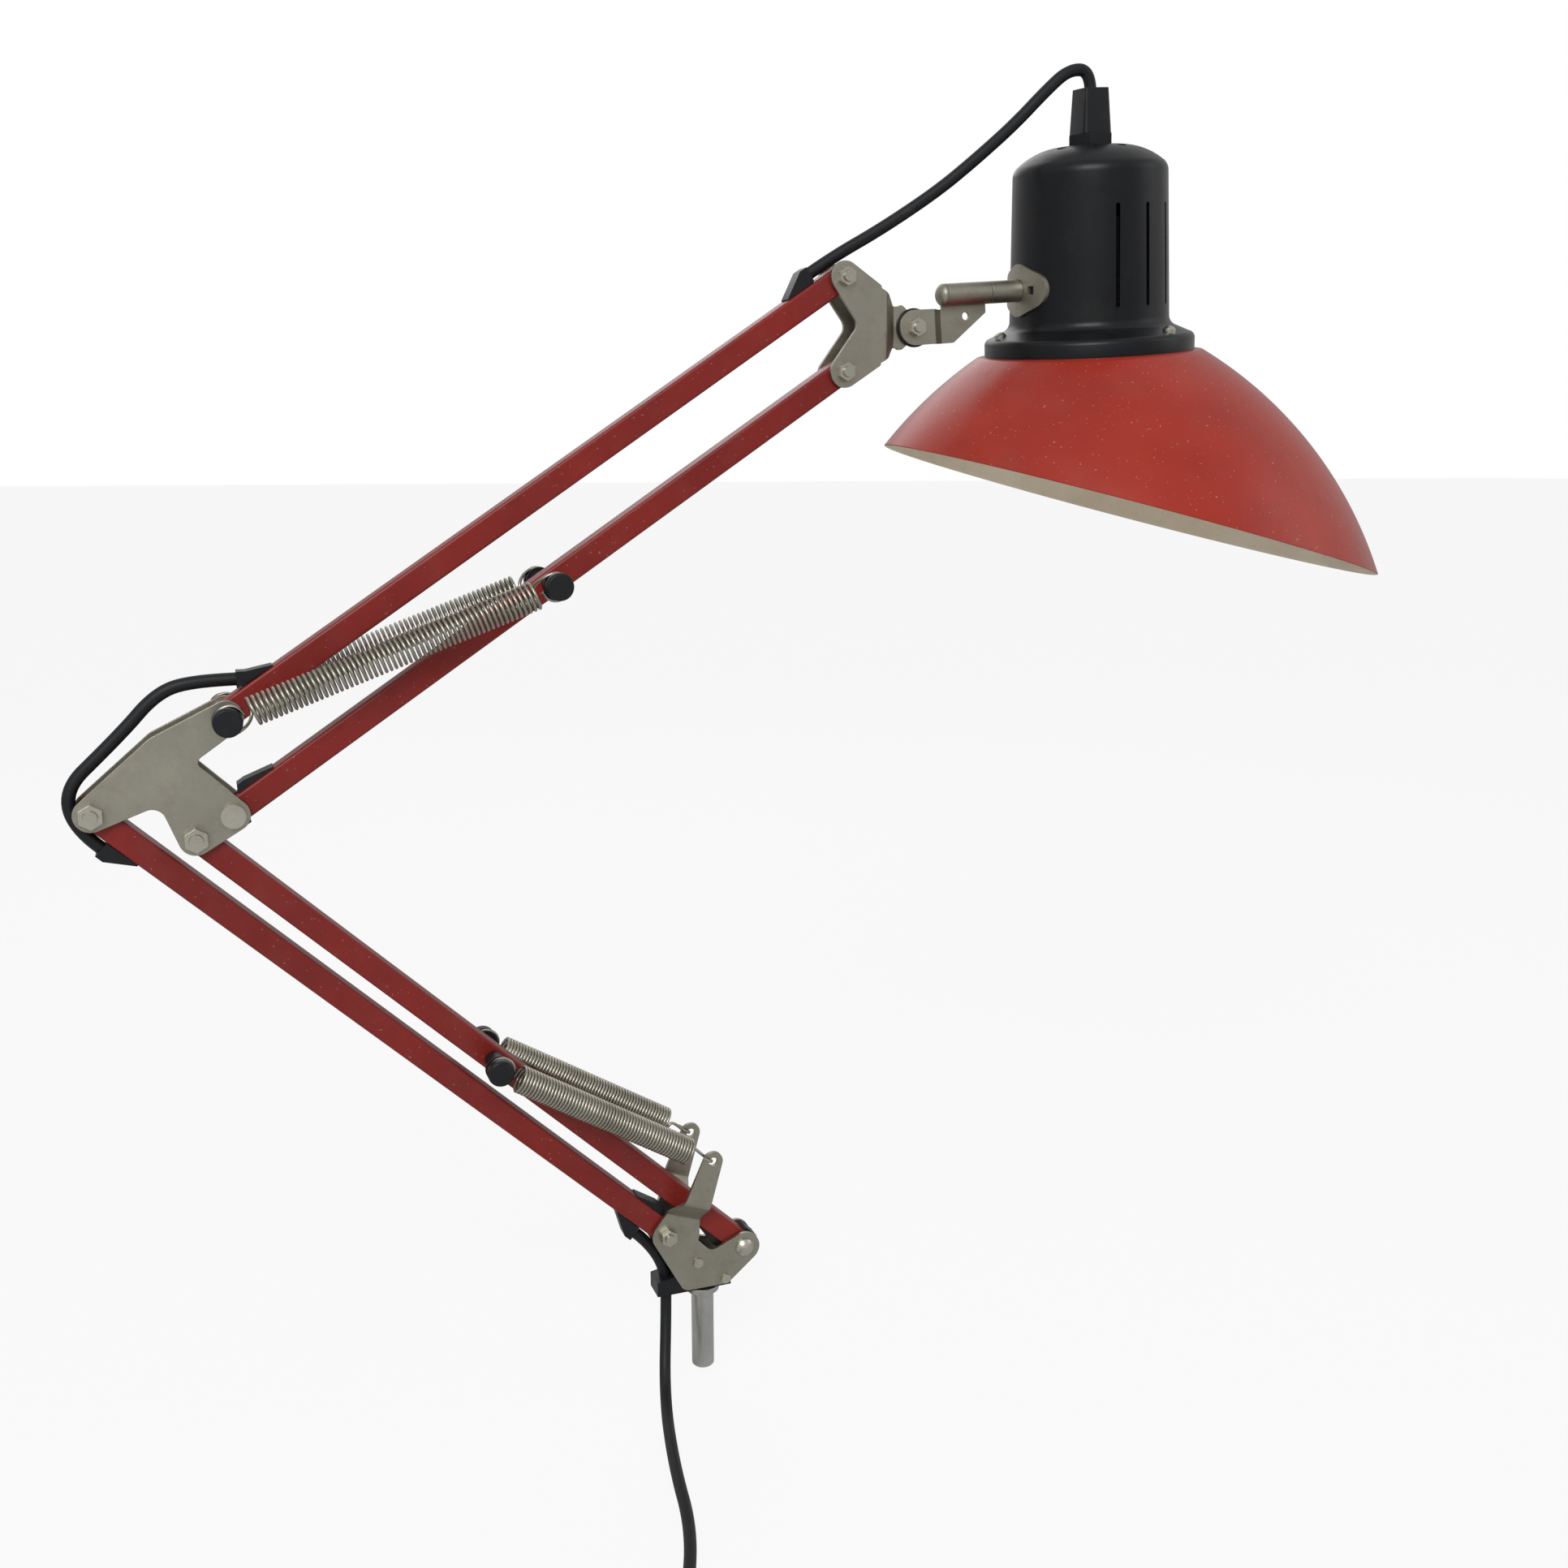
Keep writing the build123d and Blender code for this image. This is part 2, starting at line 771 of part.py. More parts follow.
def bobbin(centre, side, seat):
    bore = pin_diameter / 2 + loose / 2
    with BuildPart() as body:
        with BuildSketch(Plane(origin=(centre.X, 0, centre.Z), x_dir=right, z_dir=up * side)):
            with BuildLine():
                Polyline(
                    (bore, seat),
                    (bobbin_tube_diameter / 2, seat),
                    (bobbin_tube_diameter / 2, flange_start),
                    (bobbin_diameter / 2, flange_start),
                    (bobbin_diameter / 2, flange_start + bobbin_flange),
                    (groove_diameter / 2, flange_start + bobbin_flange),
                    (groove_diameter / 2, cap_start),
                    (bobbin_diameter / 2, cap_start),
                    (bobbin_diameter / 2, cap_end - bobbin_rounding),
                    (bobbin_diameter / 2 - bobbin_rounding, cap_end),
                    (0, cap_end),
                    (0, cap_end - pin_end_inset + loose),
                    (bore, cap_end - pin_end_inset + loose),
                    close=True,
                )
            make_face()
        revolve(axis=Axis((centre.X, 0, centre.Z), (0, 1, 0)))
    return body.part


def spring_pin(prefix, centre, seat):
    reach = cap_end - pin_end_inset
    finish(group(disc(centre, pin_diameter / 2, -reach, reach)), prefix + "_spring_pin")
    finish(group(bobbin(centre, -1, seat), bobbin(centre, 1, seat)), prefix + "_bobbins")


spring_pin("knee", pivot_e1, cheek_outer)
spring_pin("upper", upper_pin, bar_face)
spring_pin("lower", lower_pin, bar_face)


# Head bracket, link and spindle
def bracket_outline():
    top_tab = tilt_pivot + Vector(-22.0, 0, 18.4)
    bottom_tab = tilt_pivot + Vector(-22.0, 0, -18.4)
    throat = tilt_pivot + Vector(-24.2, 0, 0.2)
    webs = [
        web((pivot_h1, bracket_lobe_radius), (top_tab, 1.2), (throat, 7.0)),
        web((pivot_h2, bracket_lobe_radius), (bottom_tab, 1.2), (throat, 7.0)),
    ]
    shoulders = [
        (-24.0, 18.0), (-21.0, 18.0), (-15.6, 15.2), (-11.7, 10.1), (-8.6, 9.9), (-7.6, 10.7),
        (-6.2, 10.7), (-2.8, 7.9), (-2.8, -7.9), (-6.2, -10.7), (-7.6, -10.7), (-8.6, -9.9),
        (-11.7, -10.1), (-15.6, -15.2), (-21.0, -18.0), (-24.0, -18.0),
    ]
    with BuildSketch() as outline:
        for piece in webs:
            add(piece)
        inner_corner = spot(tilt_pivot + Vector(-31.0, 0, 0))
        fillet(outline.vertices().sort_by_distance(inner_corner)[0], throat_rounding)
        with Locations(spot(tilt_pivot)):
            Polygon(*shoulders, align=None)
            Circle(neck_radius)
        for centre, bore in ((pivot_h1, small_bore), (pivot_h2, small_bore), (tilt_pivot, small_bore)):
            with Locations(spot(centre)):
                Circle(bore, mode=Mode.SUBTRACT)
    return outline.sketch


def head_plate(name, side):
    section = folded_strip(
        [
            Vector(-60, side * cheek_layer, 0),
            Vector(neck_bend_start, side * cheek_layer, 0),
            Vector(neck_bend_end, side * cheek_thickness / 2, 0),
            Vector(20, side * cheek_thickness / 2, 0),
        ],
        cheek_thickness,
        bend_radius,
    )
    with BuildPart() as plate:
        with BuildSketch(Plane(origin=tilt_pivot, x_dir=right, z_dir=up)):
            add(section)
        extrude(amount=50, both=True)
        with BuildSketch(flat(0)):
            add(bracket_outline())
        extrude(amount=20, both=True, mode=Mode.INTERSECT)
    finish(plate.part, name)


head_plate("head_plate_front", -1)
head_plate("head_plate_rear", 1)
fibre_face = -cheek_thickness - loose
link_face = fibre_face - washer_thickness - loose
link_outer = link_face - link_thickness
with BuildPart() as tilt_washer:
    with BuildSketch(Plane(origin=(tilt_pivot.X, fibre_face, tilt_pivot.Z), z_dir=front)):
        Circle(fibre_diameter / 2)
        Circle(small_bore, mode=Mode.SUBTRACT)
    extrude(amount=washer_thickness)
finish(tilt_washer.part, "tilt_washer")

tilt_bolt_end = link_outer - small_nut_height - stud_end
with BuildPart() as tilt_bolt:
    add(disc(tilt_pivot, small_bolt_diameter / 2, tilt_bolt_end, cheek_thickness + small_nut_height))
    add(hexagon(tilt_pivot, small_nut_flats, 1, cheek_thickness, cheek_thickness + small_nut_height))
finish(group(small_bolt(pivot_h1), small_bolt(pivot_h2), tilt_bolt.part), "head_bolts")
tilt_nut = hexagon(
    tilt_pivot, small_nut_flats, small_bolt_diameter / 2, link_outer - small_nut_height, link_outer
)
head_washers = washers([pivot_h1, pivot_h2], small_washer_diameter, small_bore)
head_nuts = [small_nut(pivot_h1, -1), small_nut(pivot_h2, -1), tilt_nut]
finish(group(*head_nuts, *head_washers), "head_nuts")

sleeve_bore = spindle_diameter / 2 + loose
sleeve_layer = sleeve_diameter / 2 - link_thickness / 2
link_section = folded_strip(
    [
        Vector(-20, (link_face + link_outer) / 2, 0),
        Vector(link_bend_start, (link_face + link_outer) / 2, 0),
        Vector(link_bend_end, sleeve_layer, 0),
        Vector(sleeve_end, sleeve_layer, 0),
    ],
    link_thickness,
    1.6,
)
sleeve_plane = Plane(
    origin=spindle_start + link_run * sleeve_start, x_dir=back, z_dir=link_run
)
with BuildPart() as link_plate:
    with BuildSketch(link_top):
        add(link_section)
    extrude(amount=40, both=True)
    with BuildSketch(link_side):
        Circle(link_end_radius)
        Polygon(
            (0, 8.6), (0, -8.6), (25, -8.3), (sleeve_end, 5.6), (sleeve_end, spindle_rise),
            (sleeve_start, spindle_rise), (sleeve_start, 9.0), (17.8, 8.2), align=None,
        )
        with Locations((32.5, 4.4)):
            Circle(link_hole_diameter / 2, mode=Mode.SUBTRACT)
        Circle(small_bore, mode=Mode.SUBTRACT)
    extrude(amount=20, both=True, mode=Mode.INTERSECT)
with BuildPart() as tilt_link:
    with BuildSketch(sleeve_plane):
        Circle(sleeve_diameter / 2)
    extrude(amount=sleeve_end - sleeve_start)
    add(link_plate.part)
    with BuildSketch(sleeve_plane):
        Circle(sleeve_bore)
    extrude(amount=sleeve_end - sleeve_start, mode=Mode.SUBTRACT)
finish(tilt_link.part, "tilt_link")


def wall_radius(level):
    share = (level - wall_foot_level) / (wall_top_level - wall_foot_level)
    return wall_foot_radius + share * (wall_top_radius - wall_foot_radius)


saddle_face = head_reach - wall_radius(0) - saddle_thickness
seat = saddle_face + 0.45
spindle_side = Plane(origin=spindle_start, x_dir=link_run, z_dir=front)
shank = spindle_diameter / 2
shoulder = sleeve_diameter / 2
dome_start = sleeve_start - loose - spindle_dome
dome_foot = sleeve_start - loose - spindle_head_rim
dome_middle, dome_rise = crown(shoulder, spindle_dome - spindle_head_rim)
with BuildPart() as spindle:
    with BuildSketch(spindle_side):
        with BuildLine():
            Polyline(
                (dome_start, 0),
                (seat + stud_reach, 0),
                (seat + stud_reach, stud_diameter / 2),
                (seat, stud_diameter / 2),
                (seat, shoulder),
                (sleeve_end + spindle_play, shoulder),
                (sleeve_end + spindle_play, shank),
                (sleeve_start - loose, shank),
                (sleeve_start - loose, shoulder),
                (dome_foot, shoulder),
            )
            ThreePointArc(
                (dome_foot, shoulder), (dome_foot - dome_rise, dome_middle), (dome_start, 0)
            )
        make_face()
    revolve(axis=Axis(spindle_start, link_run))
finish(spindle.part, "spindle")


# Lamp housing: a drawn can with a foot flange, an air slot ring and vents in its roof
def radial(turn):
    return head_plane.x_dir * cos(radians(turn)) + head_plane.y_dir * sin(radians(turn))


with BuildPart() as lamp_housing:
    with BuildSketch(head_side):
        with BuildLine():
            Line((roof_hole_radius, roof_level), (roof_flat_radius, roof_level))
            ThreePointArc((roof_flat_radius, roof_level), (26.5, 66.2), (36.4, 60.4))
            ThreePointArc((36.4, 60.4), (38.5, 58.0), (wall_top_radius, wall_top_level))
            Line((wall_top_radius, wall_top_level), (wall_foot_radius, wall_foot_level))
            ThreePointArc((wall_foot_radius, wall_foot_level), (42.3, -19.0), (45.0, -21.0))
            Line((45.0, -21.0), (51.5, -24.0))
            ThreePointArc((51.5, -24.0), (53.6, -25.2), (flange_radius, flange_edge_level))
            Polyline(
                (flange_radius, flange_edge_level), (flange_radius, flange_level),
                (flange_radius - sheet, flange_level), (flange_radius - sheet, flange_edge_level),
            )
            ThreePointArc((flange_radius - sheet, flange_edge_level), (52.9, -25.9), (51.1, -24.9))
            Line((51.1, -24.9), (44.6, -21.9))
            ThreePointArc(
                (44.6, -21.9), (41.5, -19.6), (wall_foot_radius - sheet, wall_foot_level)
            )
            Line((wall_foot_radius - sheet, wall_foot_level), (wall_top_radius - sheet, wall_top_level))
            ThreePointArc((wall_top_radius - sheet, wall_top_level), (37.6, 57.5), (35.8, 59.6))
            ThreePointArc((35.8, 59.6), (26.2, 65.2), (roof_flat_radius, roof_level - sheet))
            Polyline(
                (roof_flat_radius, roof_level - sheet), (roof_hole_radius, roof_level - sheet),
                (roof_hole_radius, roof_level),
            )
        make_face()
    revolve(axis=head_axis)
    for index in range(slot_count):
        turn = (index - (slot_count - 1) / 2) * slot_step
        height = slot_top - slot_bottom
        middle = head_centre + head_up * (slot_bottom + height / 2) + radial(turn) * 30
        with BuildSketch(Plane(origin=middle, x_dir=head_up, z_dir=radial(turn))):
            SlotOverall(height, slot_width)
        extrude(amount=20, mode=Mode.SUBTRACT)
    for index in range(vent_count):
        place = head_centre + radial(vent_turn + index * 360 / vent_count) * vent_ring_radius
        with BuildSketch(Plane(origin=place + head_up * 55, x_dir=link_run, z_dir=head_up)):
            Circle(vent_diameter / 2)
        extrude(amount=20, mode=Mode.SUBTRACT)
    for index in range(screw_count):
        place = head_centre + radial(screw_turn + index * 360 / screw_count) * screw_ring_radius
        with BuildSketch(Plane(origin=place - head_up * 30, x_dir=link_run, z_dir=head_up)):
            Circle(screw_diameter / 2 + loose)
        extrude(amount=20, mode=Mode.SUBTRACT)
    with BuildSketch(Plane(origin=spindle_start + link_run * 50, x_dir=back, z_dir=link_run)):
        Circle(stud_diameter / 2 + loose)
    extrude(amount=20, mode=Mode.SUBTRACT)
finish(lamp_housing.part, "lamp_housing")

with BuildPart() as saddle:
    half = saddle_height / 2
    with BuildSketch(head_side):
        with BuildLine():
            Polyline(
                (wall_radius(-half), -half),
                (wall_radius(-half) + saddle_thickness, -half),
                (wall_radius(half) + saddle_thickness, half),
                (wall_radius(half), half),
                close=True,
            )
        make_face()
    revolve(axis=head_axis)
    with BuildSketch(Plane(origin=head_centre, x_dir=head_plane.y_dir, z_dir=-link_run)):
        with Locations((0, 0)):
            Circle(half)
        with Locations((saddle_reach, 0), (-saddle_reach, 0)):
            Circle(saddle_tip_radius)
        make_hull()
        with Locations((saddle_hole_offset, 0), (-saddle_hole_offset, 0)):
            Rectangle(saddle_hole, saddle_hole, mode=Mode.SUBTRACT)
        Circle(stud_diameter / 2 + loose, mode=Mode.SUBTRACT)
    extrude(amount=60, mode=Mode.INTERSECT)
    with BuildSketch(Plane(origin=spindle_start + link_run * seat, x_dir=back, z_dir=-link_run)):
        Circle(sleeve_diameter / 2 + 0.3)
    extrude(amount=10, mode=Mode.SUBTRACT)
finish(saddle.part, "saddle")

inner_nut_face = head_reach - wall_radius(0) + sheet + 0.45
with BuildPart() as spindle_nut:
    with BuildSketch(
        Plane(origin=spindle_start + link_run * inner_nut_face, x_dir=back, z_dir=link_run)
    ):
        RegularPolygon(knee_nut_flats / 2, 6, major_radius=False)
        Circle(stud_diameter / 2, mode=Mode.SUBTRACT)
    extrude(amount=knee_nut_height)

with BuildPart() as flange_bed:
    # All that lies under the flange's sloping face, extended
    with BuildSketch(head_side):
        with BuildLine():
            Polyline(
                (44.0, -20.45), (51.5, -23.95), (54.0, -24.9), (54.0, -40.0), (44.0, -40.0),
                close=True,
            )
        make_face()
    revolve(axis=head_axis)

screws = []
screw_nuts = []
for index in range(screw_count):
    turn = screw_turn + index * 360 / screw_count
    place = head_centre + radial(turn) * screw_ring_radius + head_up * screw_level
    with BuildPart() as screw:
        with BuildSketch(Plane(origin=place, x_dir=radial(turn), z_dir=radial(turn).cross(head_up))):
            with BuildLine():
                edge = screw_head_diameter / 2
                middle, rise = crown(edge, screw_head_height - screw_head_rim)
                Polyline(
                    (0, screw_head_height), (0, -screw_seat_depth), (edge, -screw_seat_depth),
                    (edge, screw_head_rim),
                )
                ThreePointArc(
                    (edge, screw_head_rim), (middle, screw_head_rim + rise), (0, screw_head_height)
                )
            make_face()
        revolve(axis=Axis(place, head_up))
        add(flange_bed.part, mode=Mode.SUBTRACT)
        with BuildSketch(Plane(origin=place, x_dir=radial(turn), z_dir=-head_up)):
            Circle(screw_diameter / 2)
        extrude(amount=screw_reach)
    screws.append(screw.part)
    with BuildPart() as screw_nut:
        nut_place = place + head_up * (flange_level - sheet - screw_level)
        with BuildSketch(Plane(origin=nut_place, x_dir=link_run, z_dir=-head_up)):
            RegularPolygon(screw_nut_flats / 2, 6, major_radius=False)
            Circle(screw_diameter / 2, mode=Mode.SUBTRACT)
        extrude(amount=screw_nut_height)
    screw_nuts.append(screw_nut.part)
finish(group(*screws), "flange_screws")
finish(group(spindle_nut.part, *screw_nuts), "inner_nuts")


# Shade: spun from a flat collar into one long arc and cut off on a slope
def shade_radius(level, offset=0.0):
    reach = sqrt((shade_arc_radius - offset) ** 2 - (level - shade_arc_centre_level) ** 2)
    return shade_arc_centre_radius + reach


with BuildPart() as shade:
    top = flange_level
    under = flange_level - sheet
    low = -190.0
    with BuildSketch(head_side):
        with BuildLine():
            Line((collar_inner_radius, top), (shade_radius(top), top))
            ThreePointArc(
                (shade_radius(top), top), (shade_radius(-100), -100), (shade_radius(low), low)
            )
            Line((shade_radius(low), low), (shade_radius(low, sheet), low))
            ThreePointArc(
                (shade_radius(low, sheet), low),
                (shade_radius(-100, sheet), -100),
                (shade_radius(under, sheet), under),
            )
            Polyline(
                (shade_radius(under, sheet), under), (collar_inner_radius, under),
                (collar_inner_radius, top),
            )
        make_face()
    revolve(axis=head_axis)
    with BuildSketch(head_side):
        with BuildLine():
            Polyline(
                (-300, rim_level - 300 * rim_slope), (300, rim_level + 300 * rim_slope),
                (300, -400), (-300, -400), close=True,
            )
        make_face()
    extrude(amount=300, both=True, mode=Mode.SUBTRACT)
    for index in range(screw_count):
        place = head_centre + radial(screw_turn + index * 360 / screw_count) * screw_ring_radius
        with BuildSketch(Plane(origin=place - head_up * 40, x_dir=link_run, z_dir=head_up)):
            Circle(screw_diameter / 2 + loose)
        extrude(amount=20, mode=Mode.SUBTRACT)
finish(shade.part, "shade")


# Lampholder, the hollow rod it hangs on and the strain relief above the roof
def head_level(level):
    return Plane(origin=head_centre + head_up * level, x_dir=link_run, z_dir=head_up)


with BuildPart() as nipple:
    with BuildSketch(head_level(nipple_bottom)):
        Circle(nipple_diameter / 2)
        Circle(nipple_bore / 2, mode=Mode.SUBTRACT)
    extrude(amount=nipple_top - nipple_bottom)
finish(nipple.part, "nipple")

with BuildPart() as collar_nut:
    with BuildSketch(head_level(roof_level)):
        RegularPolygon(collar_nut_flats / 2, 6, major_radius=False)
        Circle(nipple_diameter / 2, mode=Mode.SUBTRACT)
    extrude(amount=collar_nut_height)

tower_bottom = roof_level + collar_nut_height
with BuildPart() as strain_relief:
    with BuildSketch(head_level(tower_bottom)):
        RectangleRounded(tower_width, tower_width, tower_corner)
    extrude(amount=tower_top - tower_bottom, taper=tower_taper)
    with BuildSketch(head_level(tower_bottom)):
        Circle(nipple_diameter / 2)
    extrude(amount=nipple_top - tower_bottom, mode=Mode.SUBTRACT)
    with BuildSketch(head_level(tower_bottom)):
        Circle(cord_eye_diameter / 2)
    extrude(amount=tower_top - tower_bottom, mode=Mode.SUBTRACT)
finish(group(collar_nut.part, strain_relief.part), "strain_relief")

with BuildPart() as lampholder:
    with BuildSketch(head_level(holder_mouth_level)):
        Circle(holder_diameter / 2)
    extrude(amount=holder_shoulder_level - holder_mouth_level)
    with BuildSketch(head_level(holder_shoulder_level)):
        Circle(holder_diameter / 2)
    with BuildSketch(head_level(holder_neck_level)):
        Circle(holder_neck_diameter / 2)
    loft()
    with BuildSketch(head_level(holder_neck_level)):
        Circle(holder_neck_diameter / 2)
    extrude(amount=6)
    with BuildSketch(head_level(holder_mouth_level)):
        Circle(socket_diameter / 2 + loose)
    extrude(amount=holder_floor_level - holder_mouth_level, mode=Mode.SUBTRACT)
    with BuildSketch(head_level(nipple_bottom)):
        Circle(nipple_diameter / 2)
    extrude(amount=20, mode=Mode.SUBTRACT)
finish(lampholder.part, "lampholder")

with BuildPart() as shell:
    with BuildSketch(head_level(holder_mouth_level + shell_recess)):
        Circle(socket_diameter / 2)
        Circle(socket_diameter / 2 - shell_thickness, mode=Mode.SUBTRACT)
    extrude(amount=holder_floor_level - contact_height - holder_mouth_level - shell_recess)
with BuildPart() as contact:
    with BuildSketch(head_level(holder_floor_level)):
        Circle(contact_diameter / 2)
    extrude(amount=-contact_height)
finish(group(shell.part, contact.part), "lampholder_contacts")


# Springs. Each is one wire: a loop, a crossing into the coil, the coil and the far end.
wire = wire_diameter / 2
coil_radius = (coil_diameter - wire_diameter) / 2
loop_shift = coil_radius - wire - groove_diameter / 2 - loop_play


def biarc(path, start, first, end, last):
    # Adds two arcs that leave start along first and reach end along last
    chord = end - start
    turn = first + last
    spread = 2 * (1 - first.dot(last))
    along = chord.dot(turn)
    if spread < 1e-9:
        reach = chord.dot(chord) / (4 * chord.dot(last))
    else:
        reach = (-along + sqrt(along**2 + spread * chord.dot(chord))) / spread
    middle = (start + end + (first - last) * reach) * 0.5
    slope = (end - last * reach - start - first * reach).normalized()
    path.append(TangentArc(start, middle, tangent=first))
    path.append(TangentArc(middle, end, tangent=slope))


def spring_wire(anchor, far_anchor, side, hooked):
    run = (far_anchor - anchor).normalized()
    rise = front.cross(run)
    out = front * side
    length = (far_anchor - anchor).length
    first_end = spring_lead
    last_end = length - (hook_lead if hooked else spring_lead)
    pitch = (last_end - first_end) / coil_turns

    def place(along, height, outwards):
        return anchor + out * spring_offset + run * along + rise * height + out * outwards

    def coil(turn):
        angle = 2 * pi * turn - pi / 2
        point = place(
            first_end + pitch * turn, coil_radius * cos(angle), coil_radius * sin(angle)
        )
        slope = rise * (-sin(angle)) + out * cos(angle)
        return point, (slope * (2 * pi * coil_radius) + run * pitch).normalized()

    def rim(centre, angle, sense):
        # A point of the loop round a bobbin and the wire's direction there
        turn = radians(angle)
        point = place(centre + coil_radius * cos(turn), coil_radius * sin(turn), 0)
        return point, (rise * cos(turn) - run * sin(turn)) * sense

    def loop(path, centre, start_angle, sense):
        part = sense * loop_sweep / loop_arcs
        for step in range(loop_arcs):
            begin, slope = rim(centre, start_angle + part * step, sense)
            end, _ = rim(centre, start_angle + part * (step + 1), sense)
            path.append(TangentArc(begin, end, tangent=slope))

    tail, slope = rim(loop_shift, -90 - loop_sweep, 1)
    path = [Line(tail - slope * wire_end, tail)]
    loop(path, loop_shift, -90 - loop_sweep, 1)
    foot, foot_slope = rim(loop_shift, -90, 1)
    point, slope = coil(0)
    biarc(path, foot, foot_slope, point, slope)
    for half_turn in range(2 * coil_turns):
        begin, slope = coil(half_turn / 2)
        end, end_slope = coil((half_turn + 1) / 2)
        biarc(path, begin, slope, end, end_slope)
    point, slope = coil(coil_turns)
    if hooked:
        hole = length - tip_hole_diameter / 2 + hook_play + wire
        middle = tip_layer - spring_offset
        back_off = hole - hook_radius
        inner = place(back_off, 0, middle - hook_radius)
        outer = place(back_off, 0, middle + hook_radius)
        through = place(hole, 0, middle)
        biarc(path, point, slope, inner, run)
        path.append(TangentArc(inner, through, tangent=run))
        path.append(TangentArc(through, outer, tangent=out))
        path.append(Line(outer, outer - run * hook_stub))
    else:
        centre = length - loop_shift
        crest, _ = rim(centre, 90, -1)
        biarc(path, point, slope, crest, run)
        loop(path, centre, 90, -1)
        tail, slope = rim(centre, 90 - loop_sweep, -1)
        path.append(Line(tail, tail + slope * wire_end))
    return path


def wire_gap(path, diameter):
    # The least gap between two stretches of one tube that aren't neighbours
    points = []
    for piece in path:
        count = max(2, round(piece.length / (0.75 * diameter)))
        points += [piece @ (index / count) for index in range(count)]
    reach = [0.0]
    for before, after in zip(points, points[1:]):
        reach.append(reach[-1] + (after - before).length)
    least = 1e9
    for index, point in enumerate(points):
        for other in range(index + 1, len(points)):
            if reach[other] - reach[index] > 4 * diameter:
                least = min(least, (points[other] - point).length)
    return least - diameter


def make_spring(name, anchor, far_anchor, side, hooked):
    path = spring_wire(anchor, far_anchor, side, hooked)
    print(name, "least gap", round(wire_gap(path, wire_diameter), 2))
    with BuildPart() as spring:
        with BuildSketch(Plane(origin=path[0] @ 0, z_dir=path[0] % 0)):
            Circle(wire)
        sweep(path=Wire(path))
    finish(spring.part, name)


make_spring("upper_spring_front", pivot_e1, upper_pin, 1, False)
make_spring("upper_spring_rear", pivot_e1, upper_pin, -1, False)
make_spring("lower_spring_front", lower_pin, spring_tip, 1, True)
make_spring("lower_spring_rear", lower_pin, spring_tip, -1, True)


# Cords. A route's corners are rounded by what its shorter run allows.
def corner_radii(points):
    radii = []
    for before, corner, after in zip(points, points[1:], points[2:]):
        half = radians((corner - before).get_angle(after - corner)) / 2
        shorter = min((corner - before).length, (after - corner).length)
        radii.append(0.45 * shorter / tan(half))
    return radii


def make_cord(name, points, radii, section=cord_diameter):
    route = FilletPolyline(*points, radius=radii)
    with BuildPart() as cord:
        with BuildSketch(Plane(origin=points[0], z_dir=points[1] - points[0])):
            Circle(section / 2)
        sweep(path=route)
    share = cord.part.volume / (pi * section**2 / 4 * route.length)
    print(name, "length", round(route.length, 1), "radii", [round(r, 1) for r in radii], round(share, 3))
    finish(cord.part, name)


def halfway(first, second):
    return (first + second) * 0.5


def mouth(pivot, angle, side):
    return pivot + direction(angle) * mouth_distance + across(angle) * side * mouth_offset


# From the head's cord entry to the upper arm, in three stretches
head_exit = head_centre + head_up * (tower_top - 3)
head_route = [
    mouth(pivot_h1, upper_arm_angle + 180, -1),
    mouth(pivot_h1, upper_arm_angle + 180, -1) + upper_run * 16,
    Vector(98.0, -1.2, 551.2),
    Vector(127.0, -3.5, 570.0),
    Vector(147.0, -5.0, 585.8),
    Vector(168.4, -6.0, 604.0),
    Vector(184.0, -7.2, 619.8),
    Vector(197.0, -8.0, 631.4),
    head_exit + head_up * 11.5,
    head_exit,
]
head_radii = corner_radii(head_route)
first_cut = halfway(head_route[2], head_route[3])
second_cut = halfway(head_route[4], head_route[5])
make_cord("head_cord_a", [*head_route[:3], first_cut], head_radii[:2])
make_cord("head_cord_b", [first_cut, *head_route[3:5], second_cut], head_radii[2:4])
make_cord("head_cord_c", [second_cut, *head_route[5:]], head_radii[4:])

# Round the knee, in two stretches
knee_route = [
    mouth(pivot_e1, upper_arm_angle, 1),
    mouth(pivot_e1, upper_arm_angle, 1) - right * 20,
    Vector(-252.0, 0.0, 337.6),
    Vector(-267.0, 0.0, 320.9),
    mouth(pivot_k1, lower_arm_angle + 180, -1) + lower_run * 29,
    mouth(pivot_k1, lower_arm_angle + 180, -1),
]
knee_radii = corner_radii(knee_route)
knee_cut = halfway(knee_route[2], knee_route[3])
make_cord("knee_cord_upper", [*knee_route[:3], knee_cut], knee_radii[:2])
make_cord("knee_cord_lower", [knee_cut, *knee_route[3:]], knee_radii[2:])


# The straight cord hidden inside each of the two bars
def make_bar_cord(name, pivot, run):
    with BuildPart() as cord:
        with BuildSketch(Plane(origin=pivot + run * cord_insert_depth, z_dir=run)):
            Circle(cord_diameter / 2)
        extrude(amount=arm_length - 2 * cord_insert_depth)
    finish(cord.part, name)


make_bar_cord("upper_bar_cord", pivot_e1, upper_run)
make_bar_cord("lower_bar_cord", pivot_b1, lower_run)

# The stretch inside the tower and the rod, down to the lampholder
with BuildPart() as holder_cord:
    with BuildSketch(head_level(nipple_bottom)):
        Circle(cord_diameter / 2)
    extrude(amount=tower_top - 3 - nipple_bottom)
finish(holder_cord.part, "holder_cord")

# Supply: a free loop at the base, the lead along the surface, a switch, a coil and a plug
lead_level = surface_level + cord_diameter / 2
lead_run = Vector(cos(radians(lead_bearing)), sin(radians(lead_bearing)), 0)
lead_side = Vector(-lead_run.Y, lead_run.X, 0)


def on_surface(along, aside, level=lead_level):
    return lead_run * along + lead_side * aside + up * level


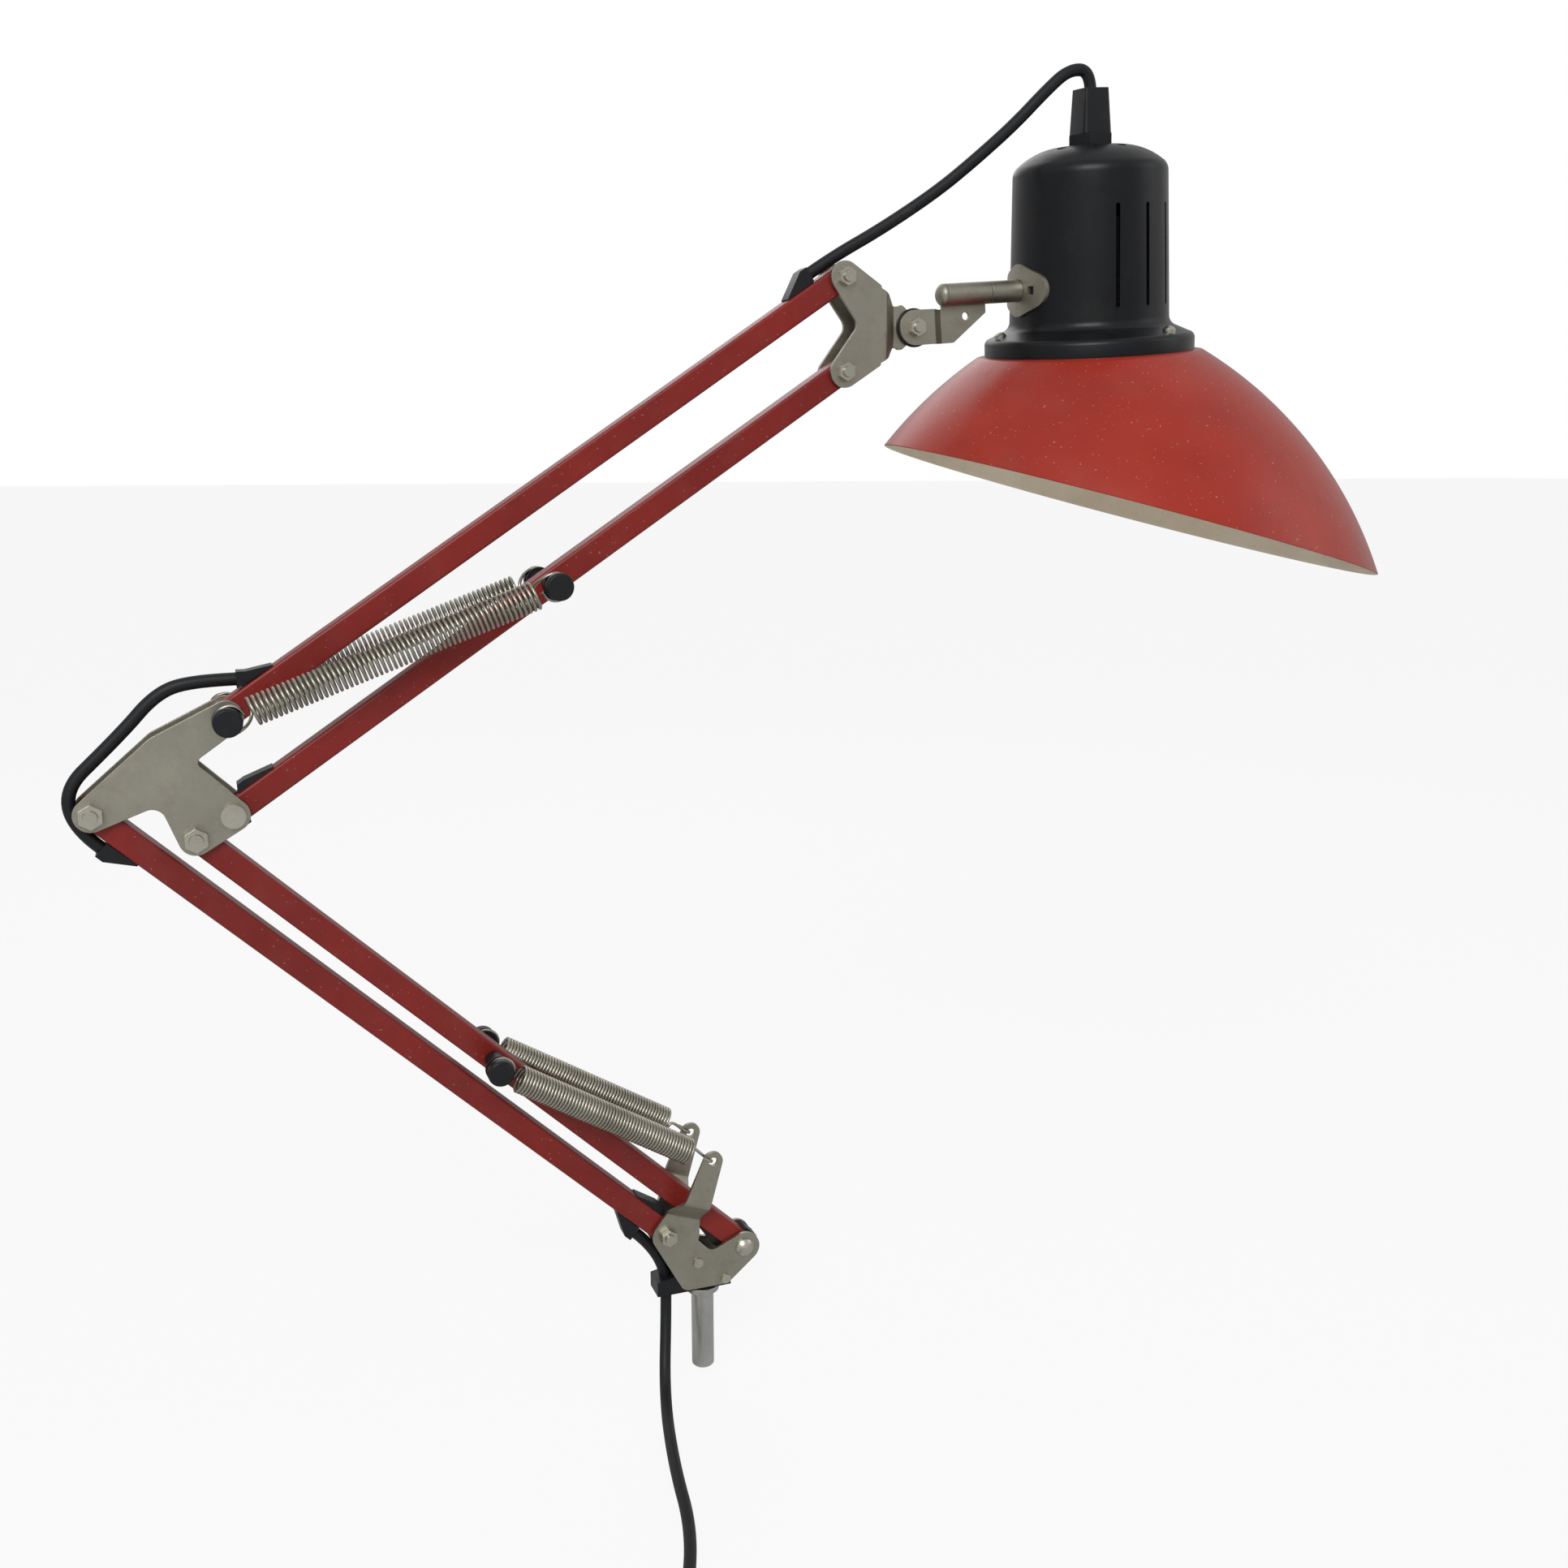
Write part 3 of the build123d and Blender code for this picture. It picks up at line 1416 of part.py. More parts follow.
supply_route = [
    mouth(pivot_b1, lower_arm_angle, 1),
    mouth(pivot_b1, lower_arm_angle, 1) - lower_run * 24.4,
    cord_eye,
]
make_cord("supply_loop", supply_route, corner_radii(supply_route))
lead_route = [
    cord_eye,
    Vector(-20.5, 0.0, -8.0),
    Vector(-28.3, -20.6, lead_level),
    on_surface(88, -10),
    on_surface(138, coil_side),
    on_surface(switch_start, coil_side),
]
make_cord("supply_lead", lead_route, corner_radii(lead_route))

switch_middle = on_surface(switch_start + switch_length / 2, coil_side, surface_level)
switch_plane = Plane(origin=switch_middle, x_dir=lead_run, z_dir=up)
rocker_pivot = switch_plane.origin + up * (switch_height - 2.0)
rocker_side = Plane(origin=rocker_pivot, x_dir=lead_run, z_dir=lead_run.cross(up))
rocker_play = 0.5
rocker_axle = 1.0
axle_reach = rocker_width / 2 + 2
with BuildPart() as switch_body:
    with BuildSketch(switch_plane):
        SlotOverall(switch_length, switch_width)
    extrude(amount=switch_height)
    fillet(switch_body.faces().sort_by(Axis.Z)[-1].edges(), 4)
    with BuildSketch(switch_plane.offset(switch_height - 7)):
        Rectangle(rocker_length + 2 * rocker_play, rocker_width + 2 * rocker_play)
    extrude(amount=20, mode=Mode.SUBTRACT)
    with BuildSketch(rocker_side):
        Circle(rocker_axle + loose)
    extrude(amount=axle_reach, both=True, mode=Mode.SUBTRACT)
finish(switch_body.part, "switch_body")

with BuildPart() as switch_rocker:
    with BuildSketch(rocker_side):
        with BuildLine():
            reach = rocker_length / 2 * cos(radians(rocker_tilt))
            high = reach * tan(radians(rocker_tilt))
            Polyline(
                (-reach + 1.0, -2.4 - high), (0, -3.6), (reach - 1.0, -2.4 + high),
                (reach, 1.4 + high), (0, 1.6), (-reach, 1.4 - high), close=True,
            )
        make_face()
    extrude(amount=rocker_width / 2, both=True)
    with BuildSketch(rocker_side):
        Circle(rocker_axle)
    extrude(amount=axle_reach, both=True)
finish(switch_rocker.part, "switch_rocker")

# The coil: an inward spiral on the surface, a climb, and an outward spiral on top of it
coil_entry = on_surface(coil_centre_along, coil_side)
coil_middle = coil_entry - lead_side * coil_outer_radius
coil_inner_radius = coil_outer_radius - coil_layer_turns * cord_turn_pitch
coil_top = coil_layer_turns + 0.5
coil_steps = [
    (0, coil_outer_radius, 0),
    (coil_layer_turns, coil_inner_radius, 0),
    (coil_top, coil_inner_radius - 1.5, cord_turn_pitch),
    (coil_top + 0.5, coil_inner_radius + 3.1, cord_turn_pitch),
    (coil_top + coil_layer_turns, coil_outer_radius, cord_turn_pitch),
    (coil_top + coil_layer_turns + 0.5, coil_outer_radius + 7, cord_turn_pitch),
    (coil_top + coil_layer_turns + 1, coil_outer_radius + 8, coil_tail_level),
]


def coil_place(turn):
    turn = min(turn, coil_steps[-1][0])
    for before, after in zip(coil_steps, coil_steps[1:]):
        if turn <= after[0]:
            share = (turn - before[0]) / (after[0] - before[0])
            break
    radius = before[1] + (after[1] - before[1]) * share
    height = before[2] + (after[2] - before[2]) * share
    angle = -2 * pi * turn
    aside = lead_side * cos(angle) - lead_run * sin(angle)
    return coil_middle + aside * radius + up * height


coil_path = [Line(on_surface(switch_start + switch_length, coil_side), coil_entry)]
quarter_turns = round(coil_steps[-1][0] * 4)
place = coil_entry
slope = lead_run
for quarter in range(1, quarter_turns + 1):
    turn = quarter / 4
    end = coil_place(turn)
    angle = -2 * pi * turn
    end_slope = (lead_run * cos(angle) + lead_side * sin(angle)).normalized()
    rise_share = (coil_place(min(turn + 0.125, coil_steps[-1][0])) - coil_place(turn - 0.125)).Z
    rise_slope = rise_share / (2 * pi * coil_outer_radius / 4)
    end_slope = (end_slope + up * (rise_slope if quarter < quarter_turns else 0)).normalized()
    biarc(coil_path, place, slope, end, end_slope)
    place = end
    slope = end_slope
slope = (slope - up * slope.Z).normalized()
plug_start = place + slope * plug_lead
coil_path.append(Line(place, plug_start))
print("supply coil length", round(sum(piece.length for piece in coil_path)))
print("supply coil least gap", round(wire_gap(coil_path, cord_diameter), 2))
with BuildPart() as supply_coil:
    with BuildSketch(Plane(origin=coil_path[0] @ 0, z_dir=lead_run)):
        Circle(cord_diameter / 2)
    sweep(path=Wire(coil_path))
finish(supply_coil.part, "supply_coil")

plug_side = slope.cross(up)
plug_back = Plane(origin=plug_start, x_dir=plug_side, z_dir=slope)
with BuildPart() as plug_body:
    with BuildSketch(plug_back):
        RectangleRounded(cord_diameter + 5, cord_diameter + 5, 3)
    with BuildSketch(plug_back.offset(plug_length * 0.5)):
        RectangleRounded(plug_width, plug_height, 4)
    loft()
    with BuildSketch(plug_back.offset(plug_length * 0.5)):
        RectangleRounded(plug_width, plug_height, 4)
    extrude(amount=plug_length * 0.5)
finish(plug_body.part, "plug_body")
with BuildPart() as plug_pins:
    with BuildSketch(plug_back.offset(plug_length)):
        with Locations((plug_pin_spacing / 2, 0), (-plug_pin_spacing / 2, 0)):
            Circle(plug_pin_diameter / 2)
    extrude(amount=plug_pin_length)
    fillet(plug_pins.faces().filter_by(Plane(origin=(0, 0, 0), z_dir=slope)).edges(), 0.9)
finish(plug_pins.part, "plug_pins")
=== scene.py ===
import json
from math import cos, pi, radians, sin, sqrt

import bmesh
import bpy
import numpy as np
from mathutils import Matrix, Vector


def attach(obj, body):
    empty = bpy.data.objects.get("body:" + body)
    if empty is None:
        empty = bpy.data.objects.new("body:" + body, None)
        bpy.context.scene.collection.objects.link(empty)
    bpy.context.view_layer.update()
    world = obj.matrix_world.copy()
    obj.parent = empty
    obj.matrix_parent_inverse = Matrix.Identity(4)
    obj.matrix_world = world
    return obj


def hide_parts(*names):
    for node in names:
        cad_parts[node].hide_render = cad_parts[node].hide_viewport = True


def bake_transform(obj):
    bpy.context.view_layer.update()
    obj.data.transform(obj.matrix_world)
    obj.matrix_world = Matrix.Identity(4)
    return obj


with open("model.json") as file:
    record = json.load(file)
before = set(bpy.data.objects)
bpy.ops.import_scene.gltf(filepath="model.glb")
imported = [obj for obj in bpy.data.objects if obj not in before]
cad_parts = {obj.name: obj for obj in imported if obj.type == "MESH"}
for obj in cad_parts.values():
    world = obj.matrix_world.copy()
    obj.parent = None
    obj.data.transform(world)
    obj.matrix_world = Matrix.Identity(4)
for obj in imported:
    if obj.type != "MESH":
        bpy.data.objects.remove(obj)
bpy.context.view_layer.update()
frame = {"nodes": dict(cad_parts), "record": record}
record = frame["record"]
behaviour = record["behaviour"]
pivot = {joint["name"]: Vector(joint["pos_m"]) for joint in behaviour["joints"]}
bodyOf = {node: body for body, nodes in behaviour["bodies"].items() for node in nodes}
slotOf = {part["node"]: part["material_slot"] for part in record["subparts"]}
print("frame loaded:", len(bodyOf), "nodes")


class Socket:
    # wraps a node's output so that shader maths reads as an expression
    def __init__(self, tree, output):
        self.tree = tree
        self.output = output

    def maths(self, operation, first, second):
        node = self.tree.nodes.new("ShaderNodeMath")
        node.operation = operation
        for place, value in enumerate((first, second)):
            plug(self.tree, node.inputs[place], value)
        return Socket(self.tree, node.outputs[0])

    def __add__(self, other):
        return self.maths("ADD", self, other)

    def __radd__(self, other):
        return self.maths("ADD", other, self)

    def __sub__(self, other):
        return self.maths("SUBTRACT", self, other)

    def __rsub__(self, other):
        return self.maths("SUBTRACT", other, self)

    def __mul__(self, other):
        return self.maths("MULTIPLY", self, other)

    def __rmul__(self, other):
        return self.maths("MULTIPLY", other, self)

    def __gt__(self, other):
        return self.maths("GREATER_THAN", self, other)

    def atMost(self, limit):
        return self.maths("MINIMUM", self, limit)


def plug(tree, socket, value):
    if isinstance(value, Socket):
        tree.links.new(value.output, socket)
    elif isinstance(value, bpy.types.NodeSocket):
        tree.links.new(value, socket)
    else:
        socket.default_value = value


def addNode(tree, kind, values, settings=None):
    # values are the node's sockets by name or number, settings its own properties
    node = tree.nodes.new(kind)
    for key, value in (settings or {}).items():
        if key == "stops":
            ramp = node.color_ramp.elements
            while len(ramp) < len(value):
                ramp.new(0.5)
            for stop, (place, shade) in zip(ramp, value):
                stop.position = place
                stop.color = (shade, shade, shade, 1) if isinstance(shade, float) else shade
        else:
            setattr(node, key, value)
    for key, value in values.items():
        plug(tree, node.inputs[key], value)
    return node


class Finish:
    # one Principled material; constants are set on the shader's own sockets
    def __init__(self, name, **constants):
        self.material = bpy.data.materials.new(name)
        self.material.use_nodes = True
        self.tree = self.material.node_tree
        self.tree.nodes.clear()
        self.shader = self.tree.nodes.new("ShaderNodeBsdfPrincipled")
        output = self.tree.nodes.new("ShaderNodeOutputMaterial")
        self.tree.links.new(self.shader.outputs[0], output.inputs[0])
        for key, value in constants.items():
            self.shader.inputs[key.replace("_", " ")].default_value = value
        place = self.tree.nodes.new("ShaderNodeTexCoord")
        self.place = Socket(self.tree, place.outputs["Object"])

    def node(self, kind, values, settings=None):
        return Socket(self.tree, addNode(self.tree, kind, values, settings).outputs[0])

    def noise(self, scale, detail=2.0, roughness=0.5, seed=0.0, stretch=None):
        place = self.place
        if stretch or seed:
            place = self.node("ShaderNodeMapping", {
                "Vector": self.place, "Location": (seed, seed * 0.7, -seed),
                "Scale": stretch or (1, 1, 1),
            })
        return self.node("ShaderNodeTexNoise", {
            "Vector": place, "Scale": scale, "Detail": detail, "Roughness": roughness,
        })

    def ramp(self, factor, *stops):
        return self.node("ShaderNodeValToRGB", {"Fac": factor}, {"stops": stops})

    def blend(self, factor, first, second):
        # a colour mix: its factor is socket 0, its colours are sockets 6 and 7 and its result is 2
        values = {0: factor, 6: first, 7: second}
        mix = addNode(self.tree, "ShaderNodeMix", values, {"data_type": "RGBA"})
        return Socket(self.tree, mix.outputs[2])

    def bump(self, height, distance, strength=1.0, under=None):
        values = {"Height": height, "Distance": distance, "Strength": strength}
        if under:
            values["Normal"] = under
        return self.node("ShaderNodeBump", values)

    def vary(self, **sockets):
        for key, value in sockets.items():
            plug(self.tree, self.shader.inputs[key.replace("_", " ")], value)
        return self.material


def geometryTree(name, inputs):
    # a geometry node tree with named inputs; returns it with its input and output nodes
    tree = bpy.data.node_groups.new(name, "GeometryNodeTree")
    tree.interface.new_socket(name="Geometry", in_out="INPUT", socket_type="NodeSocketGeometry")
    tree.interface.new_socket(name="Geometry", in_out="OUTPUT", socket_type="NodeSocketGeometry")
    for label, kind in inputs:
        tree.interface.new_socket(name=label, in_out="INPUT", socket_type="NodeSocket" + kind)
    start = tree.nodes.new("NodeGroupInput")
    end = tree.nodes.new("NodeGroupOutput")
    return tree, start, end


def useTree(piece, tree, values):
    # values go in by each socket's identifier, before the piece is first evaluated
    modifier = piece.modifiers.new(tree.name, "NODES")
    modifier.node_group = tree
    for item in tree.interface.items_tree:
        if item.in_out == "INPUT" and item.name in values:
            modifier[item.identifier] = values[item.name]


def tone(red, green, blue):
    return (red, green, blue, 1.0)


def redEnamel(name, look):
    # sprayed enamel: faint orange peel, cloudy fading, dust specks and a few scuffs
    paint = Finish(name, Specular_IOR_Level=0.3, Coat_Roughness=0.2)
    cloud = paint.noise(look["cloud"], 3.0, 0.6, 1.3)
    fade = paint.ramp(cloud, (0.3, 0.0), (0.75, 1.0))
    colour = paint.blend(fade, look["deep"], look["bright"])
    dust = paint.ramp(paint.noise(look["dust"], 2.0, 0.6, 4.1), (0.5, 0.0), (0.86, look["dusty"]))
    colour = paint.blend(dust, colour, look["powder"])
    speck = paint.noise(look["speck"], 1.0, 0.4, 7.7) > 0.745
    colour = paint.blend(speck * 0.45, colour, look["chip"])
    scuff = paint.ramp(
        paint.noise(60.0, 6.0, 0.7, 2.9, (1.0, 1.0, 0.35)), (0.62, 0.0), (0.72, 1.0)
    )
    rough = cloud * 0.14 + scuff * 0.12 + dust * 0.25 + look["rough"]
    peel = paint.bump(paint.noise(420.0, 1.0, 0.4), 0.00012, 0.35)
    return paint.vary(
        Base_Color=colour, Roughness=rough, Coat_Weight=0.12 - 0.1 * dust,
        Normal=paint.bump(scuff, 0.00004, 0.4, peel),
    )


def creamEnamel(name, look):
    # the shade's inside: off-white, slightly yellowed, with tiny specks
    paint = Finish(name, Specular_IOR_Level=0.45)
    cloud = paint.noise(look["cloud"], 3.0, 0.6)
    fade = paint.ramp(cloud, (0.3, 0.0), (0.8, 1.0))
    colour = paint.blend(fade, look["clean"], look["yellowed"])
    speck = paint.noise(look["speck"], 1.0, 0.3, 3.0) > 0.74
    colour = paint.blend(speck * 0.6, colour, look["chip"])
    return paint.vary(
        Base_Color=colour, Roughness=cloud * 0.2 + look["rough"],
        Normal=paint.bump(paint.noise(380.0, 1.0), 0.0001, 0.3),
    )


def blackEnamel(name, look):
    # satin black with handling marks and thin dust
    paint = Finish(name, Specular_IOR_Level=0.28)
    cloud = paint.noise(35.0, 4.0, 0.65)
    smear = paint.noise(90.0, 5.0, 0.7, 5.0, (1.0, 1.0, 0.2))
    dust = paint.ramp(paint.noise(55.0, 5.0, 0.65, 9.0), (0.52, 0.0), (0.85, look["dusty"]))
    colour = paint.blend(dust, look["deep"], look["powder"])
    return paint.vary(
        Base_Color=colour, Roughness=cloud * 0.16 + smear * 0.14 + look["rough"],
        Normal=paint.bump(paint.noise(500.0, 1.0), 0.00008, 0.3),
    )


def platedSteel(name, look):
    # nickel or zinc plate: cloudy, faintly brushed, with dull stains
    metal = Finish(name, Metallic=1.0)
    cloud = metal.noise(look["cloud"], 4.0, 0.6, 2.0)
    stain = metal.ramp(metal.noise(95.0, 5.0, 0.7, 6.0), (0.5, 0.0), (0.78, 1.0))
    brush = metal.noise(260.0, 2.0, 0.6, 0.0, look["brush"])
    colour = metal.blend(cloud, look["dark"], look["light"])
    colour = metal.blend(stain * look["stained"], colour, look["stain"])
    pit = metal.noise(1100.0, 1.0, 0.5, 1.0) > 0.73
    colour = metal.blend(pit * 0.35, colour, look["stain"])
    rough = brush * 0.16 + stain * 0.16 + cloud * 0.08 + look["rough"]
    return metal.vary(
        Base_Color=colour, Roughness=rough, Normal=metal.bump(brush, 0.00003, 0.5)
    )


def blackPlastic(name, look):
    # moulded parts and the cord's sheath: finely grained, slightly dusty
    moulding = Finish(name, Specular_IOR_Level=0.3)
    cloud = moulding.noise(70.0, 4.0, 0.6)
    dust = moulding.ramp(moulding.noise(120.0, 4.0, 0.7, 3.0), (0.55, 0.0), (0.85, 0.35))
    colour = moulding.blend(dust, look["deep"], look["powder"])
    return moulding.vary(
        Base_Color=colour, Roughness=cloud * 0.15 + look["rough"],
        Normal=moulding.bump(moulding.noise(look["grain"], 2.0), 0.00008, 0.35),
    )


finishes = {
    "red_enamel": redEnamel("redEnamel", {
        "cloud": 9.0, "dust": 36.0, "speck": 620.0, "dusty": 0.1, "rough": 0.3,
        "deep": tone(0.33, 0.022, 0.013), "bright": tone(0.5, 0.04, 0.02),
        "powder": tone(0.42, 0.2, 0.15), "chip": tone(0.6, 0.36, 0.3),
    }),
    # the arms' tones are written darker than the shade's enamel: painted shade for arm faces that
    # sit in less light
    "red_paint": redEnamel("redArmPaint", {
        "cloud": 16.0, "dust": 60.0, "speck": 700.0, "dusty": 0.12, "rough": 0.34,
        "deep": tone(0.19, 0.013, 0.01), "bright": tone(0.3, 0.02, 0.014),
        "powder": tone(0.26, 0.12, 0.1), "chip": tone(0.42, 0.27, 0.23),
    }),
    "black_enamel": blackEnamel("blackEnamel", {
        "dusty": 0.22, "rough": 0.2,
        "deep": tone(0.006, 0.0068, 0.0085), "powder": tone(0.045, 0.043, 0.038),
    }),
    "nickel": platedSteel("dullNickel", {
        "cloud": 30.0, "brush": (1.0, 1.0, 1.0), "rough": 0.3, "stained": 0.5,
        "dark": tone(0.3, 0.285, 0.235), "light": tone(0.44, 0.42, 0.35),
        "stain": tone(0.2, 0.18, 0.14),
    }),
    "zinc": platedSteel("brightZinc", {
        "cloud": 60.0, "brush": (1.0, 1.0, 1.0), "rough": 0.17, "stained": 0.35,
        "dark": tone(0.42, 0.4, 0.34), "light": tone(0.62, 0.6, 0.52),
        "stain": tone(0.3, 0.25, 0.17),
    }),
    "steel": platedSteel("turnedSteel", {
        "cloud": 50.0, "brush": (1.0, 1.0, 0.08), "rough": 0.25, "stained": 0.3,
        "dark": tone(0.4, 0.4, 0.38), "light": tone(0.6, 0.6, 0.57),
        "stain": tone(0.22, 0.18, 0.13),
    }),
    "spring_steel": platedSteel("springWire", {
        "cloud": 45.0, "brush": (1.0, 1.0, 1.0), "rough": 0.22, "stained": 0.4,
        "dark": tone(0.3, 0.28, 0.23), "light": tone(0.52, 0.5, 0.43),
        "stain": tone(0.18, 0.15, 0.1),
    }),
    "brass": platedSteel("plainBrass", {
        "cloud": 50.0, "brush": (1.0, 1.0, 1.0), "rough": 0.22, "stained": 0.4,
        "dark": tone(0.6, 0.42, 0.16), "light": tone(0.78, 0.6, 0.28),
        "stain": tone(0.3, 0.18, 0.07),
    }),
    "black_plastic": blackPlastic("blackMoulding", {
        "rough": 0.32, "grain": 700.0,
        "deep": tone(0.009, 0.01, 0.012), "powder": tone(0.055, 0.052, 0.046),
    }),
    "cord": blackPlastic("cordSheath", {
        "rough": 0.42, "grain": 1500.0,
        "deep": tone(0.009, 0.01, 0.012), "powder": tone(0.055, 0.052, 0.046),
    }),
}
creamInside = creamEnamel("creamInside", {
    "cloud": 22.0, "speck": 900.0, "rough": 0.3,
    "clean": tone(0.84, 0.74, 0.58), "yellowed": tone(0.7, 0.58, 0.42),
    "chip": tone(0.3, 0.24, 0.17),
})
print("finishes made:", len(bpy.data.materials))


# Camera at the photograph's angle
view = {
    "place": (-0.2396, -0.7556, 0.4411), "turn": (78.4, 0.0, -20.8), "lens": 36.57,
    "sensor": 36.0, "nearest": 0.01,
}
cameraData = bpy.data.cameras.new("photoCamera")
cameraData.lens = view["lens"]
cameraData.sensor_width = view["sensor"]
cameraData.clip_start = view["nearest"]
camera = bpy.data.objects.new("photoCamera", cameraData)
camera.location = view["place"]
camera.rotation_euler = [radians(angle) for angle in view["turn"]]
bpy.context.collection.objects.link(camera)
bpy.context.scene.camera = camera


def newObject(name, data, material=None):
    piece = bpy.data.objects.new(name, data)
    bpy.context.collection.objects.link(piece)
    if material and not data.materials:
        data.materials.append(material)
    return piece


def evaluatedMesh(piece, name):
    graph = bpy.context.evaluated_depsgraph_get()
    mesh = bpy.data.meshes.new_from_object(piece.evaluated_get(graph), depsgraph=graph)
    mesh.name = name
    return mesh


def bakePiece(piece, name):
    # the evaluated piece as a plain mesh object of its own
    mesh = evaluatedMesh(piece, name)
    data = piece.data
    bpy.data.objects.remove(piece)
    (bpy.data.curves if isinstance(data, bpy.types.Curve) else bpy.data.meshes).remove(data)
    return newObject(name, mesh)


def sharpen(mesh, limit):
    # smooth faces, with a sharp edge wherever two meet at more than the limit
    shape = bmesh.new()
    shape.from_mesh(mesh)
    for face in shape.faces:
        face.smooth = True
    for edge in shape.edges:
        edge.smooth = len(edge.link_faces) == 2 and edge.calc_face_angle(0.0) < radians(limit)
    shape.to_mesh(mesh)
    shape.free()


# Cords: short stretches that each cross one joint, then the supply
cordLook = {"diameter": 0.006, "resolution": 12, "sides": 5}


def routeCurve(name, points, diameter):
    curve = bpy.data.curves.new(name, "CURVE")
    curve.dimensions = "3D"
    curve.resolution_u = cordLook["resolution"]
    curve.bevel_depth = diameter / 2
    curve.bevel_resolution = cordLook["sides"]
    curve.use_fill_caps = True
    line = curve.splines.new("NURBS")
    line.points.add(len(points) - 1)
    for point, place in zip(line.points, points):
        point.co = (*place, 1)
    line.order_u = 3
    line.use_endpoint_u = True
    return newObject(name, curve, finishes["cord"])


def curveLine(points):
    # the points that the route's smooth spline runs through
    bare = routeCurve("bareLine", points, 0.0)
    mesh = evaluatedMesh(bare, "bareLine")
    line = [vertex.co.copy() for vertex in mesh.vertices]
    data = bare.data
    bpy.data.objects.remove(bare)
    bpy.data.curves.remove(data)
    bpy.data.meshes.remove(mesh)
    return line


def lineLength(line):
    return sum((after - before).length for before, after in zip(line, line[1:]))


def setShares(piece, share):
    # works out how far each point of a blended piece would follow the second body; the values are
    # not stored
    values = [min(max(share(vertex.co), 0.0), 1.0) for vertex in piece.data.vertices]


def bendingCord(name, node, points, bodies, hold):
    # a short stretch of cord between two bodies; hold is the straight share at each end
    line = curveLine(points)
    piece = bakePiece(routeCurve(name, points, cordLook["diameter"]), name)
    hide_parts(node)
    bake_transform(piece)
    places = np.array([tuple(point) for point in line])
    steps = np.linalg.norm(np.diff(places, axis=0), axis=1)
    reach = np.concatenate(([0.0], np.cumsum(steps)))

    def share(place):
        near = np.argmin(np.linalg.norm(places - np.array(place), axis=1))
        part = (reach[near] / reach[-1] - hold[0]) / (1 - hold[0] - hold[1])
        part = min(max(part, 0.0), 1.0)
        return part * part * (3 - 2 * part)

    setShares(piece, share)


headRoute = [
    (0.059410, 0.0, 0.528195), (0.072706, 0.0, 0.537096), (0.098, -0.0012, 0.5512),
    (0.127, -0.0035, 0.570), (0.147, -0.005, 0.5858), (0.1684, -0.006, 0.604),
    (0.184, -0.0072, 0.6198), (0.197, -0.008, 0.6314), (0.209394, -0.008530, 0.631815),
    (0.210353, -0.007588, 0.620394),
]
kneeRoute = [
    (-0.217308, 0.0, 0.342949), (-0.237308, 0.0, 0.342949), (-0.252, 0.0, 0.3376),
    (-0.267, 0.0, 0.3209), (-0.300310, 0.0, 0.289769), (-0.279309, 0.0, 0.269770),
]
loopRoute = [(-0.038161, 0.0, 0.040127), (-0.020491, 0.0, 0.023301), (-0.0205, 0.0, 0.005)]


def halfway(first, second):
    return tuple((a + b) / 2 for a, b in zip(first, second))


headCutA = halfway(headRoute[2], headRoute[3])
headCutB = halfway(headRoute[4], headRoute[5])
kneeCut = halfway(kneeRoute[2], kneeRoute[3])
cordStretches = [
    {"name": "headCordLower", "node": "head_cord_a", "points": [*headRoute[:3], headCutA],
     "bodies": ("upper_top", "bracket"), "hold": (0.12, 0.05)},
    {"name": "headCordMiddle", "node": "head_cord_b",
     "points": [headCutA, *headRoute[3:5], headCutB],
     "bodies": ("bracket", "link"), "hold": (0.0, 0.0)},
    {"name": "headCordUpper", "node": "head_cord_c", "points": [headCutB, *headRoute[5:]],
     "bodies": ("link", "head"), "hold": (0.0, 0.12)},
    {"name": "kneeCordUpper", "node": "knee_cord_upper",
     "points": [kneeCut, *reversed(kneeRoute[:3])],
     "bodies": ("knee", "upper_top"), "hold": (0.0, 0.15)},
    {"name": "kneeCordLower", "node": "knee_cord_lower",
     "points": [*reversed(kneeRoute[3:]), kneeCut],
     "bodies": ("lower_back", "knee"), "hold": (0.12, 0.0)},
    {"name": "supplyLoop", "node": "supply_loop", "points": list(reversed(loopRoute)),
     "bodies": ("base", "lower_back"), "hold": (0.1, 0.1)},
]
for stretch in cordStretches:
    bendingCord(**stretch)

# Supply: out of the base, along the surface, through the switch, into a coil and a plug
supply = {
    "level": -0.047, "run": (-0.3551, -0.9348), "side": 0.002, "switchStart": 0.188,
    "switchEnd": 0.250, "coilStart": 0.310, "coilRadius": 0.042, "turnPitch": 0.0068,
    "layerTurns": 2.5, "tailLift": 0.0035, "plugLead": 0.022, "pointsPerTurn": 16,
    "climbIn": 0.0015, "climbOut": 0.0031, "tailOut": 0.007, "tailEnd": 0.008,
    "drop": (-0.0205, 0.0, -0.008), "touchDown": (-0.0283, -0.0206, -0.047),
    "swing": (0.088, -0.010), "straightFrom": 0.138,
}
leadRun = Vector((*supply["run"], 0.0)).normalized()
leadSide = Vector((-leadRun.y, leadRun.x, 0.0))


def onSurface(along, aside):
    place = leadRun * along + leadSide * aside
    return Vector((place.x, place.y, supply["level"]))


